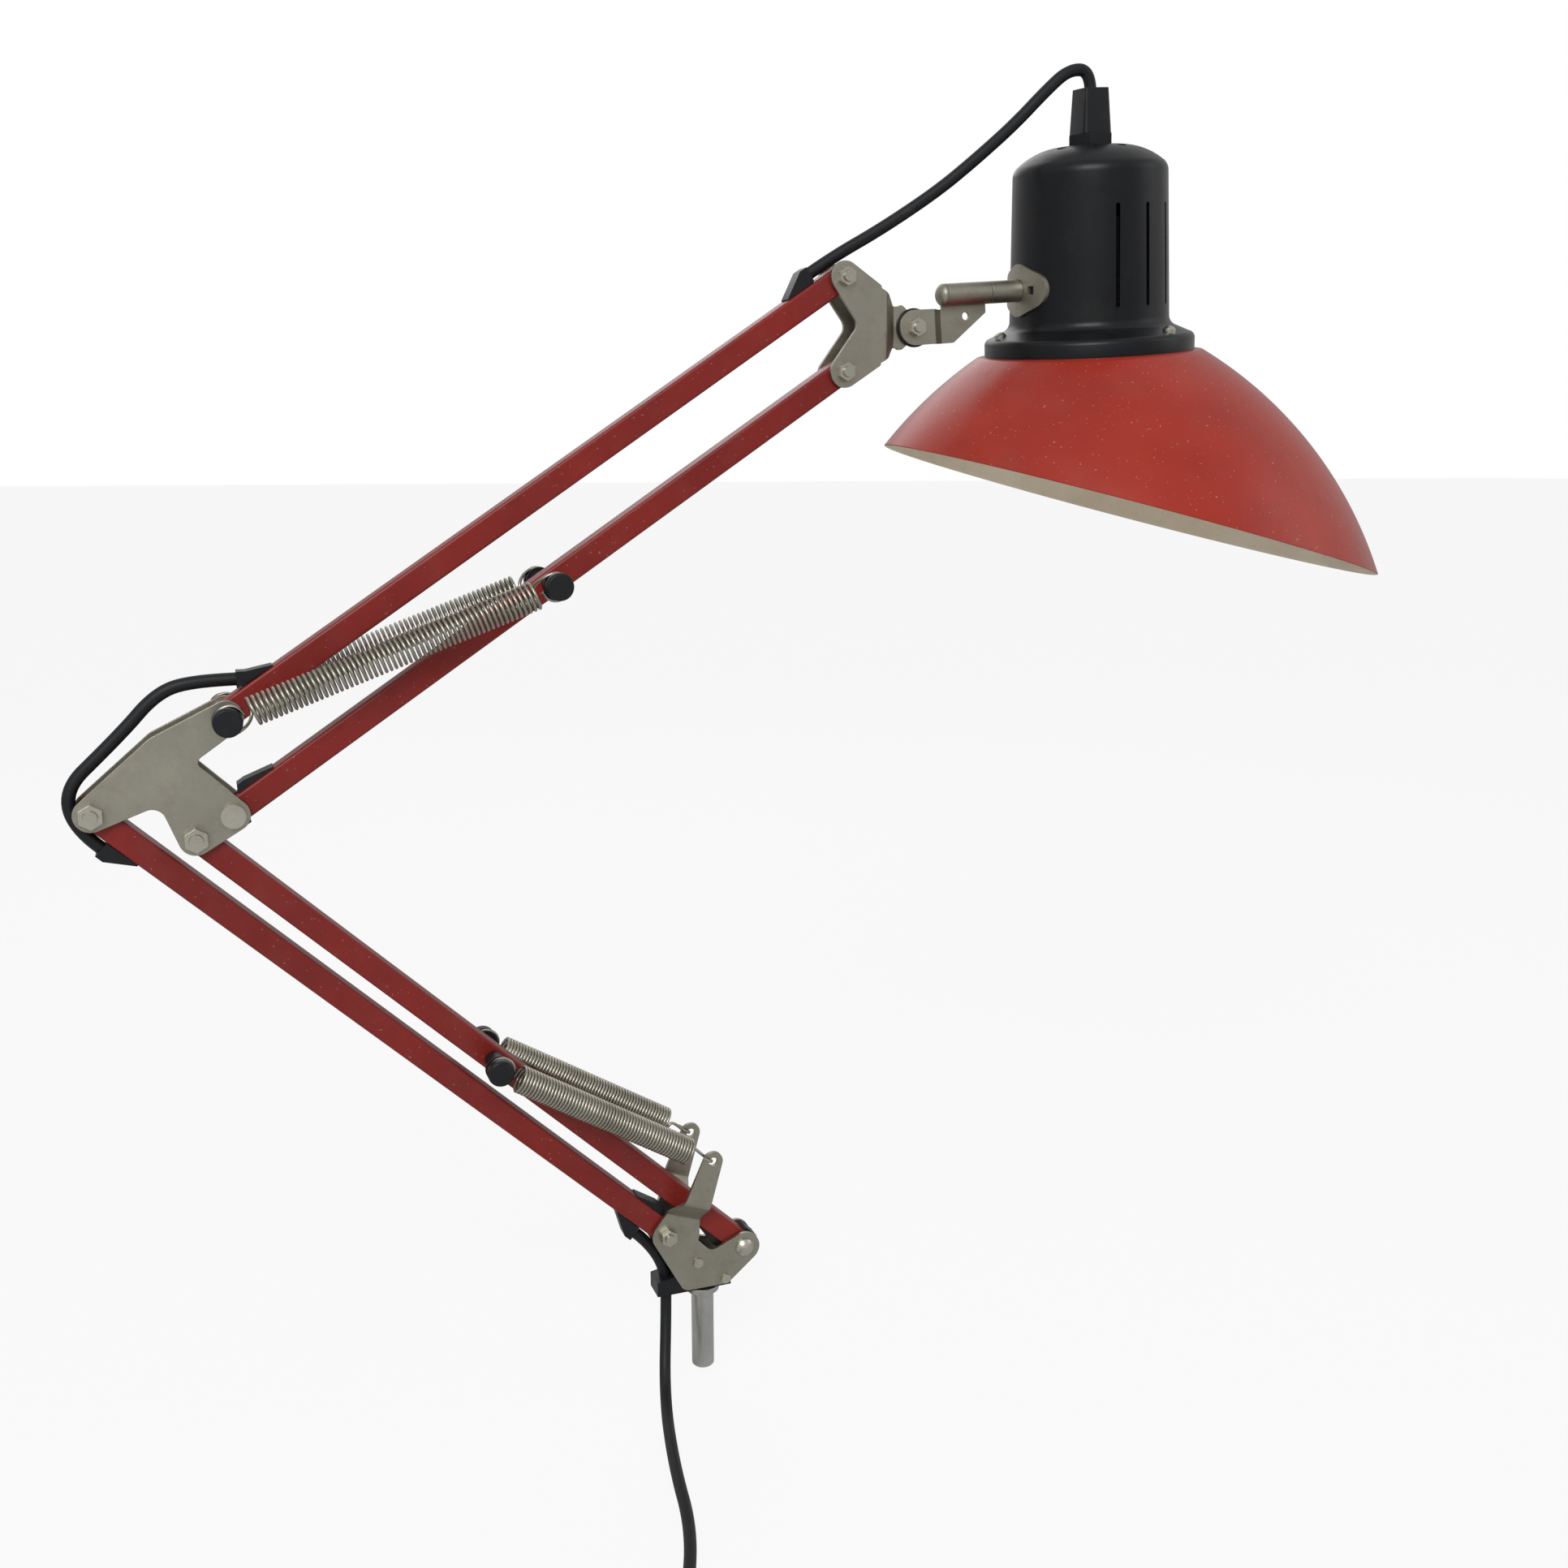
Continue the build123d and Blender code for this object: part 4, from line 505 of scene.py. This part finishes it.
def coilPoints():
    # a spiral inwards on the surface, a climb, and a spiral outwards on top of it
    outer = supply["coilRadius"]
    pitch = supply["turnPitch"]
    layer = supply["layerTurns"]
    inner = outer - layer * pitch
    top = layer + 0.5
    steps = [  # turn, radius and lift
        (0.0, outer, 0.0), (layer, inner, 0.0), (top, inner - supply["climbIn"], pitch),
        (top + 0.5, inner + supply["climbOut"], pitch), (top + layer, outer, pitch),
        (top + layer + 0.5, outer + supply["tailOut"], pitch),
        (top + layer + 1, outer + supply["tailEnd"], supply["tailLift"]),
    ]
    middle = onSurface(supply["coilStart"], supply["side"]) - leadSide * outer
    count = supply["pointsPerTurn"]
    swell = 1 / cos(pi / count)
    points = []
    for step in range(round(steps[-1][0] * count) + 1):
        turn = step / count
        radius = np.interp(turn, [s[0] for s in steps], [s[1] for s in steps])
        lift = np.interp(turn, [s[0] for s in steps], [s[2] for s in steps])
        angle = -2 * pi * turn
        aside = leadSide * cos(angle) - leadRun * sin(angle)
        points.append(middle + aside * radius * swell + Vector((0, 0, lift)))
    points.append(points[-1] - leadRun * supply["plugLead"])
    return points


leadRoute = [
    Vector(loopRoute[2]), Vector(supply["drop"]), Vector(supply["touchDown"]),
    onSurface(*supply["swing"]), onSurface(supply["straightFrom"], supply["side"]),
    onSurface(supply["switchStart"], supply["side"]),
    onSurface(supply["switchEnd"], supply["side"]),
    onSurface(supply["coilStart"], supply["side"]),
]
supplyRoute = [tuple(point) for point in [*leadRoute, *coilPoints()[1:]]]
supplyCord = routeCurve("supplyCord", supplyRoute, cordLook["diameter"])
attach(supplyCord, "base")
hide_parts("supply_lead", "supply_coil")
supplyLength = lineLength(curveLine(supplyRoute))
print("cords made, supply cord", round(supplyLength, 3), "m")

# The head's frame: outwards along the spindle and up through the lampholder
rollAxis = next(j["axis"] for j in behaviour["joints"] if j["name"] == "head_roll")
socketAxis = next(m["axis"] for m in record["mounts"] if m["name"] == "lamp_socket")
linkRun = Vector(rollAxis).normalized()
headUp = -Vector(socketAxis).normalized()
headReach = 0.1034
headCentre = pivot["head_roll"] + linkRun * headReach
headBack = headUp.cross(linkRun)
headMatrix = Matrix.Translation(headCentre) @ Matrix((
    (linkRun.x, headBack.x, headUp.x),
    (linkRun.y, headBack.y, headUp.y),
    (linkRun.z, headBack.z, headUp.z),
)).to_4x4()


def arcPoints(start, middle, end, count):
    # points of the arc through three points, the first left out
    (ax, ay), (bx, by), (cx, cy) = start, middle, end
    area = 2 * (ax * (by - cy) + bx * (cy - ay) + cx * (ay - by))
    a, b, c = ax * ax + ay * ay, bx * bx + by * by, cx * cx + cy * cy
    ux = (a * (by - cy) + b * (cy - ay) + c * (ay - by)) / area
    uy = (a * (cx - bx) + b * (ax - cx) + c * (bx - ax)) / area
    first = complex(ax - ux, ay - uy)
    last = complex(cx - ux, cy - uy)
    sweep = np.angle(last / first)
    arms = [first * np.exp(1j * sweep * k / count) for k in range(1, count + 1)]
    return [(ux + arm.real, uy + arm.imag) for arm in arms]


def ringMesh(name, rings, segments):
    # rings(turn) gives one closed meridian as (radius, level) pairs at a turn about the axis
    shape = bmesh.new()
    columns = []
    for step in range(segments):
        turn = 2 * pi * step / segments
        columns.append([
            shape.verts.new((radius * cos(turn), radius * sin(turn), level))
            for radius, level in rings(turn)
        ])
    count = len(columns[0])
    for step in range(segments):
        here, after = columns[step], columns[(step + 1) % segments]
        for row in range(count):
            nextRow = (row + 1) % count
            shape.faces.new((here[row], after[row], after[nextRow], here[nextRow]))
    bmesh.ops.recalc_face_normals(shape, faces=shape.faces)
    mesh = bpy.data.meshes.new(name)
    shape.to_mesh(mesh)
    shape.free()
    return mesh


# Shade: spun from a flat collar into one long arc, cut off on a slope
shade = {
    "arcRadius": 0.2259, "centreRadius": -0.0622, "centreLevel": -0.2245, "top": -0.0333,
    "collar": 0.0435, "sheet": 0.001, "rimLevel": -0.1105, "rimSlope": -0.34,
    "segments": 192, "rows": 48, "rimBevel": 0.0003, "rimCrown": 0.00005,
    "collarLap": 0.002, "shoulder": 0.0004, "crease": 40,
}


def shadeRadius(level, inwards=0.0):
    reach = sqrt((shade["arcRadius"] - inwards) ** 2 - (level - shade["centreLevel"]) ** 2)
    return shade["centreRadius"] + reach


def rimLevel(turn, inwards):
    # the sloped cut's level where it meets the shell, found by repetition
    level = shade["rimLevel"]
    for _ in range(40):
        level = shade["rimLevel"] + shade["rimSlope"] * shadeRadius(level, inwards) * cos(turn)
    return level


def shadeMeridian(turn):
    top, sheet, lip = shade["top"], shade["sheet"], shade["rimBevel"]
    rows = shade["rows"]
    outerRim = rimLevel(turn, 0.0)
    innerRim = rimLevel(turn, sheet)
    shoulder = top - shade["shoulder"]
    outside = [(shade["collar"], top), (shadeRadius(top) - shade["collarLap"], top)]
    for row in range(rows + 1):
        level = shoulder + (outerRim + lip - shoulder) * row / rows
        outside.append((shadeRadius(level), level))
    middleLevel = (outerRim + innerRim) / 2
    rimMiddle = [(shadeRadius(middleLevel, sheet / 2), middleLevel - shade["rimCrown"])]
    inside = []
    for row in range(rows + 1):
        level = innerRim + lip + (top - sheet - innerRim - lip) * row / rows
        inside.append((shadeRadius(level, sheet), level))
    inside.append((shade["collar"], top - sheet))
    return outside + rimMiddle + inside


shadeMesh = ringMesh("shadeShell", shadeMeridian, shade["segments"])
shadeMesh.materials.append(finishes["red_enamel"])
shadeMesh.materials.append(creamInside)
rowsPerColumn = len(shadeMeridian(0.0))
firstInside = shade["rows"] + 3  # after the collar's row, the outside's and half of the rim
for index, face in enumerate(shadeMesh.polygons):
    face.material_index = int(firstInside <= index % rowsPerColumn < rowsPerColumn - 1)
sharpen(shadeMesh, shade["crease"])
shadeMesh.transform(headMatrix)
shadePiece = newObject("shadeShell", shadeMesh)
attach(shadePiece, "head")
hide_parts("shade")
print("shade made")

# Housing: a drawn can with a foot flange; geometry nodes cut its air slots and vents
can = {
    "start": (0.0051, 0.0686), "segments": 144, "arcSteps": 8, "crease": 32,
    "legs": [
        {"to": (0.013, 0.0686)},
        {"through": (0.0265, 0.0662), "to": (0.0364, 0.0604)},
        {"through": (0.0385, 0.058), "to": (0.0393, 0.055)},
        {"to": (0.0413, -0.016), "parts": 8},
        {"through": (0.0423, -0.019), "to": (0.045, -0.021)},
        {"to": (0.0515, -0.024)},
        {"through": (0.0536, -0.0252), "to": (0.0545, -0.027)},
        {"to": (0.0545, -0.0333)},
        {"to": (0.0535, -0.0333)},
        {"to": (0.0535, -0.027)},
        {"through": (0.0529, -0.0259), "to": (0.0511, -0.0249)},
        {"to": (0.0446, -0.0219)},
        {"through": (0.0415, -0.0196), "to": (0.0403, -0.016)},
        {"to": (0.0383, 0.055)},
        {"through": (0.0376, 0.0575), "to": (0.0358, 0.0596)},
        {"through": (0.0262, 0.0652), "to": (0.013, 0.0676)},
        {"to": (0.0051, 0.0676)},
    ],
    "slotCount": 9, "slotStep": 25.25, "slotTop": 0.0395, "slotBottom": -0.010,
    "slotWidth": 0.0022, "wallRing": 0.04, "ventCount": 9, "ventDiameter": 0.0046,
    "ventRing": 0.023, "ventTurn": 160.7, "ventLevel": 0.066, "screwCount": 3,
    "screwTurn": 52.7, "screwRing": 0.0494, "screwHole": 0.0031, "screwLevel": -0.0225,
    "saddleHole": 0.0061, "holeSides": 20, "holeDepth": 0.03,
}


def canMeridian(turn):
    # each leg runs straight, in equal parts where it has any, or in an arc through a point
    line = [can["start"]]
    for leg in can["legs"]:
        (startR, startZ), (endR, endZ) = line[-1], leg["to"]
        if "through" in leg:
            line += arcPoints(line[-1], leg["through"], leg["to"], can["arcSteps"])
        else:
            parts = leg.get("parts", 1)
            line += [(startR + (endR - startR) * k / parts, startZ + (endZ - startZ) * k / parts)
                     for k in range(1, parts + 1)]
    return line


def cutterTree():
    # holes round an axis: each cutter is the hull of two pins, one at each end of the hole
    tree, start, end = geometryTree("holesRoundAxis", [
        ("Count", "Int"), ("Step", "Float"), ("First Turn", "Float"), ("Ring Radius", "Float"),
        ("Hole Radius", "Float"), ("Hole Length", "Float"), ("Middle Level", "Float"),
        ("Radial", "Bool"), ("Sides", "Int"), ("Depth", "Float"), ("Finish", "Material"),
    ])
    take = start.outputs
    pin = addNode(tree, "GeometryNodeMeshCylinder", {
        "Vertices": take["Sides"], "Depth": take["Depth"], "Radius": take["Hole Radius"],
    })
    half = Socket(tree, take["Hole Length"]) * 0.5
    upper = addNode(tree, "ShaderNodeCombineXYZ", {"Z": half})
    lower = addNode(tree, "ShaderNodeCombineXYZ", {"Z": half * -1.0})
    tipped = addNode(tree, "FunctionNodeInputVector", {}, {"vector": (0.0, pi / 2, 0.0)})
    turnPin = addNode(tree, "GeometryNodeSwitch", {
        "Switch": take["Radial"], "True": tipped.outputs[0],
    }, {"input_type": "VECTOR"})
    pins = addNode(tree, "GeometryNodeJoinGeometry", {})
    for reach in (upper, lower):
        moved = addNode(tree, "GeometryNodeTransform", {
            "Geometry": pin.outputs["Mesh"], "Translation": reach.outputs[0],
            "Rotation": turnPin.outputs[0],
        })
        tree.links.new(moved.outputs[0], pins.inputs[0])
    hull = addNode(tree, "GeometryNodeConvexHull", {"Geometry": pins.outputs[0]})
    outwards = addNode(tree, "ShaderNodeCombineXYZ", {
        "X": take["Ring Radius"], "Z": take["Middle Level"],
    })
    placed = addNode(tree, "GeometryNodeTransform", {
        "Geometry": hull.outputs[0], "Translation": outwards.outputs[0],
    })
    points = addNode(tree, "GeometryNodeMeshLine", {"Count": take["Count"], "Offset": (0, 0, 0)})
    index = Socket(tree, addNode(tree, "GeometryNodeInputIndex", {}).outputs[0])
    angle = index * Socket(tree, take["Step"]) + Socket(tree, take["First Turn"])
    spin = addNode(tree, "ShaderNodeCombineXYZ", {"Z": angle})
    cutters = addNode(tree, "GeometryNodeInstanceOnPoints", {
        "Points": points.outputs[0], "Instance": placed.outputs[0], "Rotation": spin.outputs[0],
    })
    solid = addNode(tree, "GeometryNodeRealizeInstances", {"Geometry": cutters.outputs[0]})
    cut = addNode(tree, "GeometryNodeMeshBoolean", {
        "Mesh 1": take["Geometry"], "Mesh 2": solid.outputs[0],
    }, {"operation": "DIFFERENCE"})
    whole = addNode(tree, "GeometryNodeRealizeInstances", {"Geometry": cut.outputs[0]})
    painted = addNode(tree, "GeometryNodeSetMaterial", {
        "Geometry": whole.outputs[0], "Material": take["Finish"],
    })
    tree.links.new(painted.outputs[0], end.inputs[0])
    return tree


holes = cutterTree()
canMesh = ringMesh("housingBlank", canMeridian, can["segments"])
canPiece = newObject("housingBlank", canMesh, finishes["black_enamel"])
middleSlot = (can["slotCount"] - 1) / 2
holeRows = [
    {"Count": can["slotCount"], "Step": radians(can["slotStep"]),
     "First Turn": -radians(can["slotStep"]) * middleSlot, "Ring Radius": can["wallRing"],
     "Hole Radius": can["slotWidth"] / 2,
     "Hole Length": can["slotTop"] - can["slotBottom"] - can["slotWidth"],
     "Middle Level": (can["slotTop"] + can["slotBottom"]) / 2, "Radial": True},
    {"Count": can["ventCount"], "Step": 2 * pi / can["ventCount"],
     "First Turn": radians(can["ventTurn"]), "Ring Radius": can["ventRing"],
     "Hole Radius": can["ventDiameter"] / 2, "Hole Length": 0.0,
     "Middle Level": can["ventLevel"], "Radial": False},
    {"Count": can["screwCount"], "Step": 2 * pi / can["screwCount"],
     "First Turn": radians(can["screwTurn"]), "Ring Radius": can["screwRing"],
     "Hole Radius": can["screwHole"] / 2, "Hole Length": 0.0,
     "Middle Level": can["screwLevel"], "Radial": False},
    {"Count": 1, "Step": 0.0, "First Turn": pi, "Ring Radius": can["wallRing"],
     "Hole Radius": can["saddleHole"] / 2, "Hole Length": 0.0, "Middle Level": 0.0,
     "Radial": True},
]
for row in holeRows:
    useTree(canPiece, holes, {
        **row, "Sides": can["holeSides"], "Depth": can["holeDepth"],
        "Finish": finishes["black_enamel"],
    })
canPiece = bakePiece(canPiece, "housingCan")
sharpen(canPiece.data, can["crease"])
canPiece.data.transform(headMatrix)
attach(canPiece, "head")
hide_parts("lamp_housing")
print("housing made,", len(canPiece.data.polygons), "faces")

# Springs: each one wire, swept by geometry nodes along its line
spring = {
    "wire": 0.0016, "coil": 0.0142, "offset": 0.021, "lead": 0.011, "hookLead": 0.0155,
    "sweep": 255.0, "turns": 58, "pointsPerTurn": 18, "shift": 0.0012, "tipLayer": 0.0195,
    "tipHole": 0.0046, "hookRadius": 0.0028, "hookStub": 0.003, "hookPlay": 0.0006,
    "wireEnd": 0.0018, "sides": 8, "pinDistance": 0.18, "tip": (0.0216, 0.0, 0.0436),
    "loopSteps": 22, "hookSteps": 12, "crossSteps": 8,
}
frontWards = Vector((0, -1, 0))


def springTree():
    # a round wire swept along the curve that it is given
    tree, start, end = geometryTree("sweptWire", [
        ("Wire Radius", "Float"), ("Sides", "Int"), ("Finish", "Material"),
    ])
    take = start.outputs
    ring = addNode(tree, "GeometryNodeCurvePrimitiveCircle", {
        "Resolution": take["Sides"], "Radius": take["Wire Radius"],
    })
    tube = addNode(tree, "GeometryNodeCurveToMesh", {
        "Curve": take["Geometry"], "Profile Curve": ring.outputs[0], "Fill Caps": True,
    })
    smooth = addNode(tree, "GeometryNodeSetShadeSmooth", {"Geometry": tube.outputs[0]})
    whole = addNode(tree, "GeometryNodeRealizeInstances", {"Geometry": smooth.outputs[0]})
    painted = addNode(tree, "GeometryNodeSetMaterial", {
        "Geometry": whole.outputs[0], "Material": take["Finish"],
    })
    tree.links.new(painted.outputs[0], end.inputs[0])
    return tree


def springLine(anchor, farAnchor, side, hooked):
    # the wire's centre line: a loop on the pin, the coil, then a loop or a hook at the far end
    run = (farAnchor - anchor).normalized()
    rise = frontWards.cross(run)
    out = frontWards * side
    length = (farAnchor - anchor).length
    radius = (spring["coil"] - spring["wire"]) / 2
    first = spring["lead"]
    last = length - (spring["hookLead"] if hooked else spring["lead"])

    def place(along, height, outwards):
        return anchor + out * (spring["offset"] + outwards) + run * along + rise * height

    def eased(start, startSlope, finish, finishSlope):
        # a smooth crossing between two points, leaving and arriving along their slopes
        reach = (finish - start).length
        count = spring["crossSteps"]
        points = []
        for step in range(1, count):
            t = step / count
            points.append(
                start * (2 * t**3 - 3 * t**2 + 1) + startSlope * reach * (t**3 - 2 * t**2 + t)
                + finish * (3 * t**2 - 2 * t**3) + finishSlope * reach * (t**3 - t**2)
            )
        return points

    def rim(centre, angle, sense):
        turn = radians(angle)
        point = place(centre + radius * cos(turn), radius * sin(turn), 0)
        return point, (rise * cos(turn) - run * sin(turn)) * sense

    shift = spring["shift"]
    steps = spring["loopSteps"]
    loop = [rim(shift, -90 - spring["sweep"] * (1 - k / steps), 1) for k in range(steps + 1)]
    line = [loop[0][0] - loop[0][1] * spring["wireEnd"]] + [point for point, _ in loop]
    perTurn = spring["pointsPerTurn"]
    count = spring["turns"] * perTurn
    body = []
    for step in range(count + 1):
        angle = 2 * pi * step / perTurn - pi / 2
        along = first + (last - first) * step / count
        body.append(place(along, radius * cos(angle), radius * sin(angle)))
    line += eased(line[-1], run, body[0], rise)
    line += body
    if hooked:
        hole = length - spring["tipHole"] / 2 + spring["hookPlay"] + spring["wire"] / 2
        middle = spring["tipLayer"] - spring["offset"]
        bow = spring["hookRadius"]
        back = hole - bow
        parts = spring["hookSteps"]
        bend = [radians(-90 + 180 * k / parts) for k in range(parts + 1)]
        hook = [place(back + bow * cos(a), 0, middle + bow * sin(a)) for a in bend]
        line += eased(line[-1], rise, hook[0], run) + hook
        line.append(hook[-1] - run * spring["hookStub"])
    else:
        centre = length - shift
        loop = [rim(centre, 90 - spring["sweep"] * k / steps, -1) for k in range(steps + 1)]
        line += eased(line[-1], rise, loop[0][0], run) + [point for point, _ in loop]
        line.append(loop[-1][0] + loop[-1][1] * spring["wireEnd"])
    return line


wireTree = springTree()


def makeSpring(name, node, ends, side, hooked, bodies, hinge, fixedEnd):
    line = springLine(*ends, side, hooked)
    curve = bpy.data.curves.new(name, "CURVE")
    curve.dimensions = "3D"
    spline = curve.splines.new("POLY")
    spline.points.add(len(line) - 1)
    for point, place in zip(spline.points, line):
        point.co = (*place, 1)
    piece = newObject(name + "Line", curve)
    useTree(piece, wireTree, {
        "Wire Radius": spring["wire"] / 2, "Sides": spring["sides"],
        "Finish": finishes["spring_steel"],
    })
    piece = bakePiece(piece, name)
    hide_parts(node)
    moving = ends[1] if fixedEnd == ends[0] else ends[0]
    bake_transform(piece)
    run = (moving - fixedEnd).normalized()
    length = (moving - fixedEnd).length
    hold = spring["coil"] / 2

    def share(place):
        # rigid at both ends; between them a point follows as the straight line would
        part = ((place - fixedEnd).dot(run) - hold) / (length - 2 * hold)
        part = min(max(part, 0.0), 1.0)
        arm = fixedEnd + run * length * part - hinge
        return part * (moving - hinge).length / max(arm.length, 1e-6)

    setShares(piece, share)


lowerRun = (pivot["knee_level"] - pivot["lower_arm"]).normalized()
upperRun = (pivot["head_level"] - pivot["upper_arm"]).normalized()
armLength = (pivot["knee_level"] - pivot["lower_arm"]).length
lowerPin = pivot["lower_front_follow"] + lowerRun * (armLength - spring["pinDistance"])
upperPin = pivot["upper_bottom_follow"] + upperRun * spring["pinDistance"]
springTip = pivot["lower_arm"] + Vector(spring["tip"])
springPairs = [
    {"name": "upperSpring", "node": "upper_spring_", "ends": (pivot["upper_arm"], upperPin),
     "hooked": False, "bodies": ("knee", "upper_bottom"), "hinge": pivot["upper_bottom_follow"],
     "fixedEnd": pivot["upper_arm"]},
    {"name": "lowerSpring", "node": "lower_spring_", "ends": (lowerPin, springTip),
     "hooked": True, "bodies": ("base", "lower_front"), "hinge": pivot["lower_front_follow"],
     "fixedEnd": springTip},
]
for side, place in ((1, "Front"), (-1, "Rear")):
    for pair in springPairs:
        makeSpring(**{
            **pair, "name": pair["name"] + place, "node": pair["node"] + place.lower(),
            "side": side,
        })
print("springs made")

# Other pieces: their own shapes with softened edges and their finishes
dressing = {"merge": 0.000002, "flat": 0.6, "crease": 34, "softenFrom": 40, "softSteps": 2}
edgeSoftness = {  # by finish, or by piece where it differs
    "nickel": 0.00025, "zinc": 0.0002, "steel": 0.0002, "red_paint": 0.0001,
    "black_plastic": 0.0003, "brass": 0.0001, "cord": 0.0, "spring_steel": 0.0,
    "upper_top_inserts": 0.0008, "lower_back_inserts": 0.0008, "upper_bottom_inserts": 0.0006,
    "lower_front_inserts": 0.0006, "strain_relief": 0.0006,
}


def dress(node):
    # a merged copy of the node's mesh, with its edges softened, on the node's own body
    width = edgeSoftness.get(node, edgeSoftness[slotOf[node]])
    name = "".join(word.capitalize() for word in node.split("_"))
    mesh = frame["nodes"][node].data.copy()
    mesh.materials.clear()
    mesh.materials.append(finishes[slotOf[node]])
    for face in mesh.polygons:
        face.material_index = 0
    shape = bmesh.new()
    shape.from_mesh(mesh)
    bmesh.ops.remove_doubles(shape, verts=shape.verts, dist=dressing["merge"])
    bmesh.ops.dissolve_limit(
        shape, angle_limit=radians(dressing["flat"]), verts=shape.verts, edges=shape.edges
    )
    shape.to_mesh(mesh)
    shape.free()
    piece = newObject(name[0].lower() + name[1:], mesh)
    sharpen(mesh, dressing["crease"])
    if width:
        soften = piece.modifiers.new("softEdges", "BEVEL")
        soften.width = width
        soften.segments = dressing["softSteps"]
        soften.limit_method = "ANGLE"
        soften.angle_limit = radians(dressing["softenFrom"])
        soften.harden_normals = True
        piece = bakePiece(piece, piece.name)
    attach(piece, bodyOf[node])
    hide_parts(node)
    return piece


ownPieces = {
    "shade", "lamp_housing", "supply_lead", "supply_coil", "supply_loop", "head_cord_a",
    "head_cord_b", "head_cord_c", "knee_cord_upper", "knee_cord_lower", "upper_spring_front",
    "upper_spring_rear", "lower_spring_front", "lower_spring_rear",
}
dressed = {node: dress(node) for node in bodyOf if node not in ownPieces}
print("pieces dressed:", len(dressed))

# Studio: pale floor, soft lights, white surroundings
studio = {
    "floorLevel": -0.0503, "floorSize": 60.0, "floorTone": 0.8, "floorRough": 0.9,
    "floorGlow": 0.9, "ambient": 0.26, "gloss": 0.45, "aim": (0.02, 0.0, 0.36),
    "lights": [
        {"name": "keySoftbox", "place": (-0.9, -1.8, 1.7), "size": 1.2, "power": 32.0},
        {"name": "sideSoftbox", "place": (1.6, -0.7, 1.1), "size": 0.9, "power": 2.0},
        {"name": "backSoftbox", "place": (0.3, 1.6, 1.5), "size": 1.2, "power": 5.0},
    ],
}
for lamp in studio["lights"]:
    light = bpy.data.lights.new(lamp["name"], "AREA")
    light.energy = lamp["power"]
    light.size = lamp["size"]
    holder = bpy.data.objects.new(lamp["name"], light)
    holder.location = lamp["place"]
    towards = Vector(studio["aim"]) - Vector(lamp["place"])
    holder.rotation_euler = towards.to_track_quat("-Z", "Y").to_euler()
    bpy.context.collection.objects.link(holder)

floorFinish = Finish("paleFloor", Roughness=studio["floorRough"])
floorFinish.vary(Base_Color=tone(*[studio["floorTone"]] * 3))
floorTree = floorFinish.tree
floorRays = floorTree.nodes.new("ShaderNodeLightPath").outputs
glow = addNode(floorTree, "ShaderNodeEmission", {"Color": tone(1, 1, 1), "Strength": 1.0})
lit = addNode(floorTree, "ShaderNodeMixShader", {
    0: Socket(floorTree, floorRays["Is Camera Ray"]) * studio["floorGlow"],
    1: floorFinish.shader.outputs[0], 2: glow.outputs[0],
})
floorOutput = next(node for node in floorTree.nodes if node.type == "OUTPUT_MATERIAL")
floorTree.links.new(lit.outputs[0], floorOutput.inputs[0])
half, level = studio["floorSize"] / 2, studio["floorLevel"]
floorMesh = bpy.data.meshes.new("studioFloor")
corners = [(-half, -half, level), (half, -half, level), (half, half, level), (-half, half, level)]
floorMesh.from_pydata(corners, [], [(0, 1, 2, 3)])
newObject("studioFloor", floorMesh, floorFinish.material)

world = bpy.data.worlds.new("studioWorld")
world.use_nodes = True
bpy.context.scene.world = world
sky = world.node_tree
sky.nodes.clear()
rays = sky.nodes.new("ShaderNodeLightPath").outputs
mirrored = Socket(sky, rays["Is Glossy Ray"]) + Socket(sky, rays["Is Transmission Ray"])
seen = (Socket(sky, rays["Is Camera Ray"]) + mirrored * studio["gloss"]).atMost(1.0)
strength = seen * (1 - studio["ambient"]) + studio["ambient"]
backdrop = addNode(sky, "ShaderNodeBackground", {"Color": tone(1, 1, 1), "Strength": strength})
skyOutput = sky.nodes.new("ShaderNodeOutputWorld")
sky.links.new(backdrop.outputs[0], skyOutput.inputs[0])
bpy.context.scene.view_settings.view_transform = "Standard"
print("studio made")
